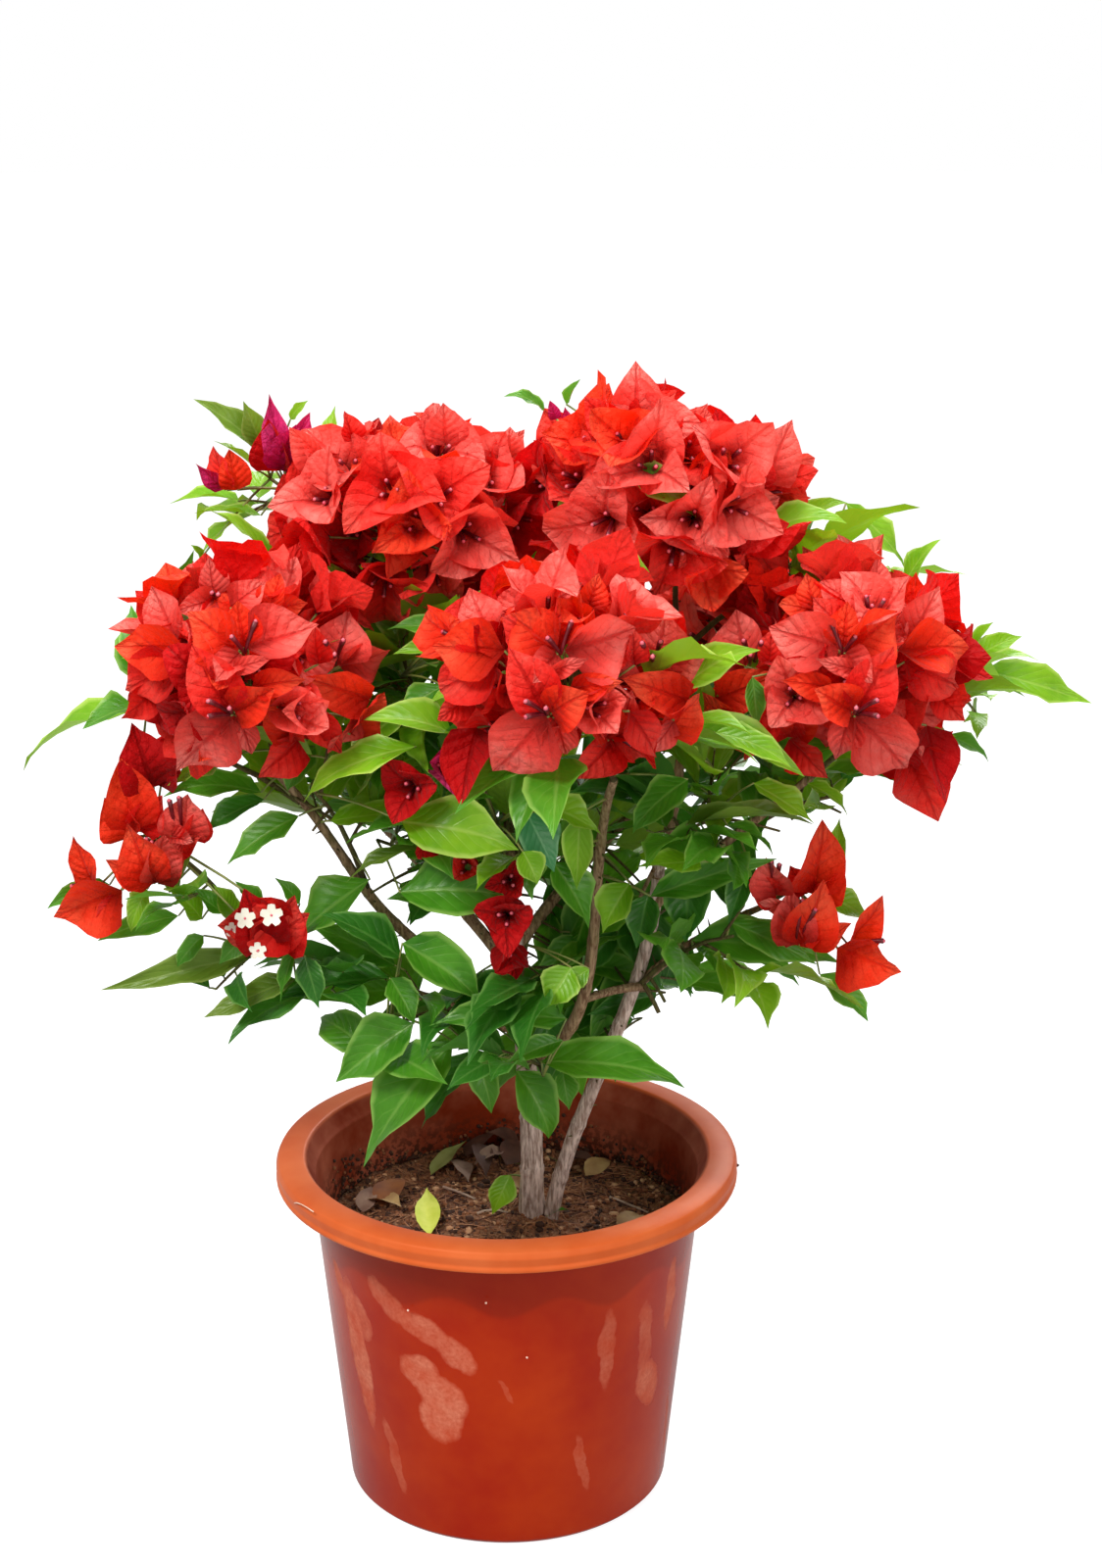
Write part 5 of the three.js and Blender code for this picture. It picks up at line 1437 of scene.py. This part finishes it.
# %% [markdown]
# Leafy side twigs leave each shoot on the golden angle. Each holds a leaf at its tip and more
# along it, to one side and the other in turn, and a finer twig with leaves of its own. Leaves
# near the top of the crown are tinted yellow-green, and those low inside it are tinted dark.


# %% Growing leaves on twigs
TWIGS_TO_EACH = 1.3


def tint_of(height, draw):
    """The tint of a twig's leaves, by its height in the crown and a throw of the dice."""
    tint_level = (height - 300) / 380 + draw(-0.35, 0.35)
    return "fresh" if tint_level > 0.5 else "mid" if tint_level > 0.18 else "deep"


def grow_leaf(root, axis, face, length, tint, draw):
    """Adds a leaf on its stalk. One that crosses another is turned and shortened."""
    side = np.cross(face, axis)
    for attempt in range(7):
        swing = 0.45 * attempt * (1 if attempt % 2 else -1)
        way = mixed((axis, 1), (side, swing))
        upper = square_to(face, way)
        size = length * (1 - 0.05 * attempt)
        base = root + way * size * 0.12
        points = leaf_points(base, way, upper, size, draw)
        if points[:, 2].min() < FLOOR_OF_FOLIAGE or near_limb(points[MIDRIB[2:]], 1.5):
            continue
        if must_stay_clear(points):
            continue
        free = crown.tried(points, LEAF_SHRUNK)
        if free:
            crown.add(*free)
            leaves[tint].append(points)
            grown["stalks"].append(rod_along(arched(root, base + way * size * 0.02, 0.1), 0.75, 0.55))
            return True
    return False


def leafy_twig(mass, start, end, number_of_leaves, thick, tint, draw):
    """A side twig with a leaf at its tip and leaves to either side of it."""
    way = unit(end - start)
    outward = outward_at(start)
    side = square_to(np.cross(way, UP) + 1e-6, way)
    placed = 0
    for order in range(number_of_leaves):
        share = 1 - 0.78 * order / number_of_leaves
        aside = 0.0 if order == 0 else 0.95 * (1 if order % 2 else -1)
        length = draw(54, 86) * mass["scale"]
        sag, tilt = draw(-0.3, 0.45), draw(-0.4, 0.4)
        axis = mixed((way, 1), (side, aside + tilt), (UP, -sag), (outward, 0.15))
        face = square_to(mixed((UP, 0.85), (outward, 0.35), (side, tilt)), axis)
        placed += grow_leaf(start + (end - start) * share, axis, face, length, tint, draw)
    if placed:
        grown["twigs"].append(rod_along(arched(start, end, 0.05), thick, thick * 0.6))
    return placed


total = 0
for mass in masses:
    twigs = round(mass["twigs"] * TWIGS_TO_EACH * mass["leafy"])
    for number in range(twigs):
        draw = dice(SEEDS["twigs"] + 1000 * mass["seed"] + number)
        place = 0.25 + (0.73 * (number + 0.5)) / twigs
        start = mass["shoot"](place)[0]
        along = way_on(mass["shoot"], place)
        first, second = cross_directions(along)
        around = number * GOLDEN_ANGLE + draw(-0.3, 0.3)
        way = mixed((along, 0.35), (first, math.cos(around)), (second, math.sin(around)),
                    (outward_at(start), 0.45), (UP, -0.15 if mass["head"] else 0.05))
        end = start + way * mass["reach"] * draw(0.45, 0.85)
        tint = tint_of(start[2], draw)
        total += leafy_twig(mass, start, end, 4, 1.3, tint, draw)
        fork = start + (end - start) * 0.45
        finer_way = mixed((way, 0.7), (np.cross(way, UP), draw(-1, 1)), (UP, draw(-0.3, 0.5)))
        finer_end = fork + finer_way * mass["reach"] * draw(0.3, 0.5)
        total += leafy_twig(mass, fork, finer_end, 2, 0.9, tint, draw)
    grown["twigs"].append(rod_along(mass["shoot"], 2.1, 1.1))
print("leaves on twigs:", total, "all leaves so far:", {tint: len(found) for tint, found in leaves.items()})

# %% [markdown]
# Behind the two bare stems the photograph shows dark leaves, not sky. Seventy places there are
# tried for a single leaf, and each leaf that finds room hangs from the nearest limb by a thin twig.

# %% Dark leaves behind the stems
for number in range(70):
    draw = dice(SEEDS["behind_stems"] + number)
    root = spot(draw(6, 122), draw(12, 58), draw(300, 400))
    carrier = nearest_carrier(root)
    side = draw(-1, 1)
    axis = mixed((EAST, side), (NORTH, draw(-0.3, 0.2)), (UP, draw(-0.7, 0.2)))
    face = square_to(mixed((NORTH, -0.8), (UP, 0.6), (EAST, draw(-0.3, 0.3))), axis)
    if grow_leaf(root, axis, face, draw(46, 68), "deep" if draw(0, 1) < 0.5 else "mid", draw):
        total += 1
        grown["twigs"].append(rod_along(arched(carrier, root, 0.06), 1.1, 0.7))
print("leaves grown by rule:", total, "all leaves:", sum(len(found) for found in leaves.values()))


# %% [markdown]
# Leaves are glossy and bracts are papery, and both are thin, so some light goes through them. The
# shader is a mix of the usual surface and a translucent one. Two close tones mottle each blade, with
# ribs and a margin from the veins group, painted shade in the throat at its root, a pale tip that is
# a painted highlight, and a pale underside, which the Backfacing output tells. On leaves the pale
# margin is a painted highlight as well. Each tint has six colours: the two tones, the ribs, which also
# colour the margin, the underside, the light that comes through, and the painted highlight of the tip.


# %% Finishes for leaves and bracts
def blade_finish(name, tones, vein_beats, light_through, painted_throat_shade, wrinkled, **sockets):
    """A thin blade's finish, from its six tones."""
    tone, shade, rib, under, through, tip = [colour(*values) for values in tones]
    made, tree, shader, place = bare_finish(name, **sockets)
    lines = use_group(tree, veins, {"UV": place["UV"], "Side veins": vein_beats})
    cloud = mottled(tree, place["Object"], 45.0, 0.35, 0.65)
    base = blend_colours(tree, cloud, tone, shade)
    along = place_node(tree, "ShaderNodeSeparateXYZ", {0: place["UV"]}).outputs["Y"]
    # The pale tip, laid on in patches, is a painted highlight: strong on bracts, faint on leaves.
    highlight_patches = mottled(tree, place["Object"], 70.0, 0.4, 0.7)
    painted_tip_highlight = times(tree, ramp(tree, along, 0.2, 0.85), arithmetic(tree, "ADD", highlight_patches, 0.35))
    base = blend_colours(tree, painted_tip_highlight, base, tip)
    base = blend_colours(tree, times(tree, lines["Rib"], 0.22 + 0.4 * wrinkled), base, rib)
    # On leaves the margin takes the pale rib colour as a painted highlight along the wavy edges; on bracts it
    # darkens the edge.
    base = blend_colours(tree, times(tree, lines["Margin"], 0.65 - 0.4 * wrinkled), base, rib)
    # Painted shade in the throat, where the three bracts cup round the tubes; leaves get none.
    throat_shade_colour = tuple(0.27 * c for c in tone[:3]) + (1.0,)
    base = blend_colours(tree, ramp(tree, along, 0.04, 0.45, painted_throat_shade, 0.0), base, throat_shade_colour)
    back = tree.nodes.new("ShaderNodeNewGeometry").outputs["Backfacing"]
    base = blend_colours(tree, back, base, under)
    tree.links.new(base, shader.inputs["Base Color"])
    crinkle = mottled(tree, place["Object"], 220.0, 0.3, 0.7)
    relief = arithmetic(tree, "ADD", lines["Height"], times(tree, crinkle, wrinkled))
    raise_surface(tree, shader, relief, 0.0008 + 0.0005 * wrinkled, 0.2 + 0.7 * wrinkled)
    glow = place_node(tree, "ShaderNodeBsdfTranslucent", {"Color": through})
    mix = place_node(tree, "ShaderNodeMixShader", {0: light_through})
    tree.links.new(shader.outputs[0], mix.inputs[1])
    tree.links.new(glow.outputs[0], mix.inputs[2])
    tree.links.new(mix.outputs[0], tree.nodes["Material Output"].inputs["Surface"])
    return made


# The last colour of each leaf tint is the faint painted highlight at the tip, and the rib colour also paints
# the highlight along the margin.
LEAF_TINTS = {
    "fresh": ((84, 146, 12), (122, 174, 30), (196, 220, 112), (124, 162, 50), (146, 200, 20), (136, 184, 44)),
    "mid": ((46, 110, 16), (80, 146, 32), (164, 204, 100), (92, 144, 48), (110, 184, 30), (82, 146, 42)),
    "deep": ((26, 80, 18), (52, 116, 30), (132, 182, 90), (76, 126, 50), (80, 156, 30), (54, 116, 38)),
    "olive": ((78, 110, 30), (98, 128, 42), (160, 182, 96), (112, 136, 62), (130, 164, 28), (112, 138, 50)),
    "bluish": ((48, 112, 68), (64, 130, 82), (136, 186, 134), (90, 140, 98), (80, 160, 50), (64, 134, 84)),
}
# Coral is a painted highlight, the bracts' red as lit by the sky from above, and crimson is painted shade,
# the red of bracts deep in shadow. The last colour of each tint is the painted highlight at the tip.
BRACT_TINTS = {
    "scarlet": ((236, 10, 8), (246, 30, 22), (176, 2, 4), (216, 14, 12), (255, 20, 6), (250, 90, 76)),
    "coral": ((248, 58, 50), (252, 88, 78), (198, 16, 18), (236, 46, 40), (255, 66, 50), (255, 134, 122)),
    "flame": ((248, 30, 6), (252, 52, 18), (214, 12, 4), (238, 30, 10), (255, 50, 6), (255, 94, 60)),
    "crimson": ((162, 0, 6), (190, 4, 10), (120, 0, 4), (160, 2, 8), (236, 6, 8), (214, 24, 26)),
    "magenta": ((178, 14, 84), (212, 34, 110), (150, 6, 64), (186, 24, 92), (230, 20, 92), (222, 70, 130)),
}
HEAD_NAMES = [*HEADS, "spray_low_left", "spray_low_right", "spray_top_left"]
LEAFY_NAMES = [name for name in SPRAYS if name not in HEAD_NAMES]
for tint, tones in LEAF_TINTS.items():
    finish = blade_finish("leaf_" + tint, tones, 52.0, 0.3, 0.0, 0.15, Roughness=0.34, Specular_IOR_Level=0.4,
                          Specular_Tint=(0.95, 1.0, 0.8, 1.0))
    joined("leaves_" + tint, BLADE, leaves[tint], finish, LEAFY_NAMES)
for tint, tones in BRACT_TINTS.items():
    finish = blade_finish("bract_" + tint, tones, 40.0, 0.34, 0.92, 1.0, Roughness=0.55,
                          Specular_IOR_Level=0.2, Specular_Tint=(1.0, 0.6, 0.55, 1.0), Sheen_Weight=0.12,
                          Sheen_Roughness=0.4, Sheen_Tint=(1.0, 0.5, 0.45, 1.0))
    joined("bracts_" + tint, BLADE, bracts[tint], finish, HEAD_NAMES)


# %% [markdown]
# Stalks, tubes and the like are too small to show more than two close tones, so one short function
# paints them all.


# %% Plain finishes for small parts
def plain_finish(name, tone, shade, roughness, scale=120.0):
    """Two close tones, mottled."""
    made, tree, shader, place = bare_finish(name, Roughness=roughness)
    mask = mottled(tree, place["Object"], scale, 0.35, 0.65)
    tree.links.new(blend_colours(tree, mask, colour(*tone), colour(*shade)), shader.inputs["Base Color"])
    return made


stalk_green = plain_finish("stalk_green", (104, 124, 52), (132, 132, 66), 0.5)
tube_red = plain_finish("tube_red", (84, 4, 14), (120, 8, 26), 0.45)
tip_pink = plain_finish("tip_pink", (206, 66, 92), (222, 110, 120), 0.5)
star_white = plain_finish("star_white", (222, 216, 196), (236, 232, 216), 0.6)
joined("twigs", ROD, grown["twigs"], twig_bark, LEAFY_NAMES)
joined("leaf_and_flower_stalks", ROD, grown["stalks"], stalk_green, LEAFY_NAMES)
joined("flower_tubes", ROD, grown["tubes"], tube_red, HEAD_NAMES)
joined("flower_tube_tips", CRUMB, grown["tube_tips"], tip_pink, HEAD_NAMES)
joined("true_flowers", STAR, grown["true_flowers"], star_white, HEAD_NAMES)

# %% [markdown]
# A few small things mark the plant as a real one. The leaning stem was pruned, and two stubs of cut
# branches point from it towards the main stem. Two short dead stubs hang from it at the right, and
# thorns stand along the stems and boughs. On the pot, a flake of dirt clings to the lip at the
# right, a pale hair of a crack crosses the lip at the left, and three pale specks sit on the wall.

# %% Stubs and thorns
STUBS = [((88, -14, 348), (70, -22, 351), (48, -33, 346), 3.0, 2.6),
         ((94, -20, 431), (89, -27, 424), (84, -32, 414), 1.6, 1.2)]
DEAD_STUBS = [((86, -15, 352), (92, -20, 345), (97, -24, 334), 1.8, 1.5),
              ((90, -14, 356), (97, -18, 348), (101, -21, 340), 1.4, 1.1)]
cut_stubs = [rod_along(curve_through(*places), thick, thin) for *places, thick, thin in STUBS]
grown["thorns"] += [rod_along(curve_through(*places), thick, thin) for *places, thick, thin in DEAD_STUBS]
for limb in LIMBS.values():
    draw = dice(SEEDS["thorns"] + limb["seed"])
    for t in np.arange(0.15, 0.95, 0.08):
        out = spoke(*cross_directions(way_on(limb["curve"], t)), draw(0, FULL_TURN))
        foot = limb["curve"](t)[0] + out * limb_radius(limb, t) * 0.7
        tip = foot + out * draw(5, 8) + UP * draw(1, 3)
        grown["thorns"].append(rod_along(arched(foot, tip, 0.1), 0.9, 0.15))
joined("cut_stubs", ROD, cut_stubs, bough_bark, ["leaning_stem"])
joined("thorns", ROD, grown["thorns"], twig_bark, list(LIMBS))

# %% Marks on the pot
crack_line = curve_through((-132.4, -71.0, 224.5), (-129, -80, 230.2), (-118.5, -94.2, 229.6))
crack = rod_along(crack_line, 0.45, 0.35)
specks = [spot(*place) + CRUMB.points * 0.8
          for place in ((-11.1, -126.9, 184), (13.9, -122.3, 144), (-60, -110, 170))]
flake = spot(149.6, 5.2, 215) + CRUMB.points * spot(3.0, 0.9, 1.6)
speck_finish = plain_finish("pale_speck", (240, 190, 160), (250, 220, 200), 0.6)
dirt_finish = plain_finish("dry_dirt", (70, 26, 14), (104, 44, 26), 0.8)
joined("lip_crack", ROD, [crack], speck_finish, ["pot"])
joined("wall_specks", CRUMB, specks, speck_finish, ["pot"])
joined("lip_flake", CRUMB, [flake], dirt_finish, ["pot"])

# %% [markdown]
# The soil is strewn with crumbs, root fibres and fallen leaves. Crumbs and fibres are scattered by
# seeded draws, and some crumbs stick to the wall above the tide line, where watering has splashed
# them. The larger fallen leaves lie where they show: a yellow one at the front, a curled tan one at
# the left, and a heap of dry ones behind the stems. They are pressed down on the soil's surface.


# %% Crumbs and fibres
def round_the_axis(away, around):
    """The x and y of a place, from its distance to the pot's axis and its angle round it."""
    return away * math.cos(around), away * math.sin(around)


def on_soil(x, y, lift):
    """A place over the soil's surface, raised by a lift."""
    return spot(x, y, soil_height(x, y) + lift)


crumbs = {"dark": [], "brown": [], "tan": []}
draw = dice(SEEDS["crumbs"])
for number in range(4200):
    away = SOIL_EDGE * math.sqrt(draw(0, 0.97))
    x, y = round_the_axis(away, draw(0, FULL_TURN))
    size = 0.6 + 1.9 * draw(0, 1) ** 3 + (1.2 if number % 30 == 0 else 0)
    squash = spot(draw(0.6, 1.5), draw(0.6, 1.5), draw(0.4, 0.9)) * size
    tint = "dark" if draw(0, 1) < 0.3 else "brown" if draw(0, 1) < 0.76 else "tan"
    crumbs[tint].append(on_soil(x, y, 0.15 * size) + CRUMB.points * squash)
for number in range(420):
    around = math.radians(draw(15, 165))
    level = 177 + 26 * draw(0, 1) ** 2 * abs(math.cos(around * 2 + 0.6))
    splashed = spot(*round_the_axis(pot_inside(level) - 0.3, around), level)
    size = draw(0.5, 1.6)
    crumbs["dark" if draw(0, 1) < 0.7 else "brown"].append(splashed + CRUMB.points * size)
fibres = []
dark_fibres = []
for number in range(900):
    away = SOIL_EDGE * math.sqrt(draw(0, 0.9))
    middle_x, middle_y = round_the_axis(away, draw(0, FULL_TURN))
    way = draw(0, FULL_TURN)
    length, bow = draw(5, 22), draw(-4, 4)
    places = []
    for share, aside in ((-0.5, 0), (0.0, bow), (0.5, 0)):
        x = middle_x + share * length * math.cos(way) - aside * math.sin(way)
        y = middle_y + share * length * math.sin(way) + aside * math.cos(way)
        places.append(on_soil(x, y, draw(0.2, 1.2)))
    if max(math.hypot(x, y) for x, y, z in places) < SOIL_EDGE - 1:
        (fibres if number % 3 else dark_fibres).append(rod_along(curve_through(*places), 0.5, 0.25))
LONG_FIBRE = ((-58, -16), (-66, -2), (-71, 12))
PALE_TWIGS = (((68, 40), (78, 35), (93, 19)), ((-20, 9), (-11, 16), (0, 5)),
              ((-44, 50), (-30, 44), (-22, 30)))
fibres.append(rod_along(curve_through(*[on_soil(*place, 1) for place in LONG_FIBRE]), 0.8, 0.5))
pale_twigs = []
for twig in PALE_TWIGS:
    pale_twigs.append(rod_along(curve_through(*[on_soil(*place, 1.4) for place in twig]), 1.1, 0.7))
print("crumbs:", {tint: len(found) for tint, found in crumbs.items()})
print("fibres:", len(fibres), len(dark_fibres))

# %% [markdown]
# A row for a fallen leaf gives x, y and the height over the soil at its root and then at its tip,
# its half width as a share of its length, and its tint. Dry leaves curl more than fresh ones.

# %% Fallen leaves
FALLEN = [
    (-50, -24, 3, -54, 30, 12, 0.15, "yellow"), (-84, 24, 3, -71, 62, 7, 0.26, "rust"),
    (-91, 36, 3, -70, 9, 8, 0.26, "tan"), (-53, 74, 4, -30, 103, 10, 0.2, "olive"),
    (-36, 90, 4, -27, 56, 3, 0.2, "pale"), (-22, 96, 9, -15, 62, 3, 0.2, "umber"),
    (-4, 90, 7, -24, 74, 6, 0.24, "pale"), (-30, 92, 4, -7, 116, 12, 0.3, "umber"),
    (8, 112, 3, -16, 104, 13, 0.3, "umber"), (-2, 80, 3, 8, 112, 8, 0.3, "umber"),
    (-2, 58, 3, 9, 33, 4, 0.3, "tan"), (52, 62, 3, 70, 84, 5, 0.26, "tan"),
    (-62, -30, 2, -80, -6, 3, 0.3, "umber"), (74, -20, 3, 88, 8, 4, 0.26, "tan"),
    (30, -70, 3, 8, -84, 3, 0.26, "rust"), (-30, -66, 3, -52, -80, 4, 0.26, "pale"),
    (40, 96, 4, 60, 84, 4, 0.3, "umber"), (-96, 20, 3, -92, 48, 7, 0.24, "pale"),
]
FALLEN_TONES = {
    "yellow": ((196, 206, 66), (214, 218, 96)), "rust": ((140, 82, 34), (112, 58, 26)),
    "tan": ((172, 138, 84), (146, 104, 64)), "olive": ((124, 128, 58), (146, 148, 82)),
    "pale": ((150, 118, 98), (118, 84, 68)), "umber": ((64, 34, 22), (92, 54, 38)),
}
fallen = {tint: [] for tint in FALLEN_TONES}
for number, (*ends, half, tint) in enumerate(FALLEN):
    draw = dice(SEEDS["fallen_leaves"] + number)
    root, tip = on_soil(*ends[:3]), on_soil(*ends[3:])
    axis = unit(tip - root)
    face = square_to(mixed((UP, 1), (np.cross(axis, UP), draw(-0.35, 0.35))), axis)
    curl = 0.15 if tint in ("yellow", "olive") else draw(0.5, 1.1)
    angles = curl * ALONG ** 1.5 - 0.4 * curl
    crumple = draw(0.01, 0.03) * np.sin(ALONG * draw(8, 14) + ACROSS * draw(2, 5) + draw(0, 6))
    fold = half * LEAF_OUTLINE * draw(0.1, 0.5) * np.abs(ACROSS) ** 1.4
    rise = fold + crumple * LEAF_OUTLINE
    length = np.linalg.norm(tip - root) * 1.02
    points = bent_blade(root, axis, face, length, half, angles, LEAF_OUTLINE, rise, draw(-0.2, 0.2))
    surface = np.array([soil_height(x, y) for x, y, z in points]) + 0.6
    points[:, 2] = np.maximum(points[:, 2], surface)
    fallen[tint].append(points)
print("fallen leaves:", len(FALLEN))

# %% [markdown]
# Each kind of litter is joined into a piece of its own, with its two tones and its roughness.

# %% Joining the litter
strewn = [
    ("soil_crumbs_dark", CRUMB, crumbs["dark"], "crumb_dark", (50, 24, 10), (74, 40, 22), 0.9, 120.0),
    ("soil_crumbs_brown", CRUMB, crumbs["brown"], "crumb_brown", (116, 66, 36), (150, 94, 58), 0.9, 120.0),
    ("soil_crumbs_tan", CRUMB, crumbs["tan"], "crumb_tan", (176, 122, 84), (214, 166, 126), 0.9, 120.0),
]
for tint, tones in FALLEN_TONES.items():
    strewn.append(("fallen_leaves_" + tint, BLADE, fallen[tint], "fallen_" + tint, *tones, 0.7, 90.0))
strewn += [
    ("root_fibres", ROD, fibres, "fibre", (142, 88, 56), (182, 128, 90), 0.8, 120.0),
    ("dark_fibres", ROD, dark_fibres, "dark_fibre", (62, 28, 14), (90, 46, 26), 0.8, 120.0),
    ("pale_twigs", ROD, pale_twigs, "pale_twig", (176, 140, 120), (196, 170, 150), 0.8, 120.0),
]
for name, form, copies, finish_name, *look in strewn:
    joined(name, form, copies, plain_finish(finish_name, *look), ["soil"])

# %% Finish
bpy.context.view_layer.update()
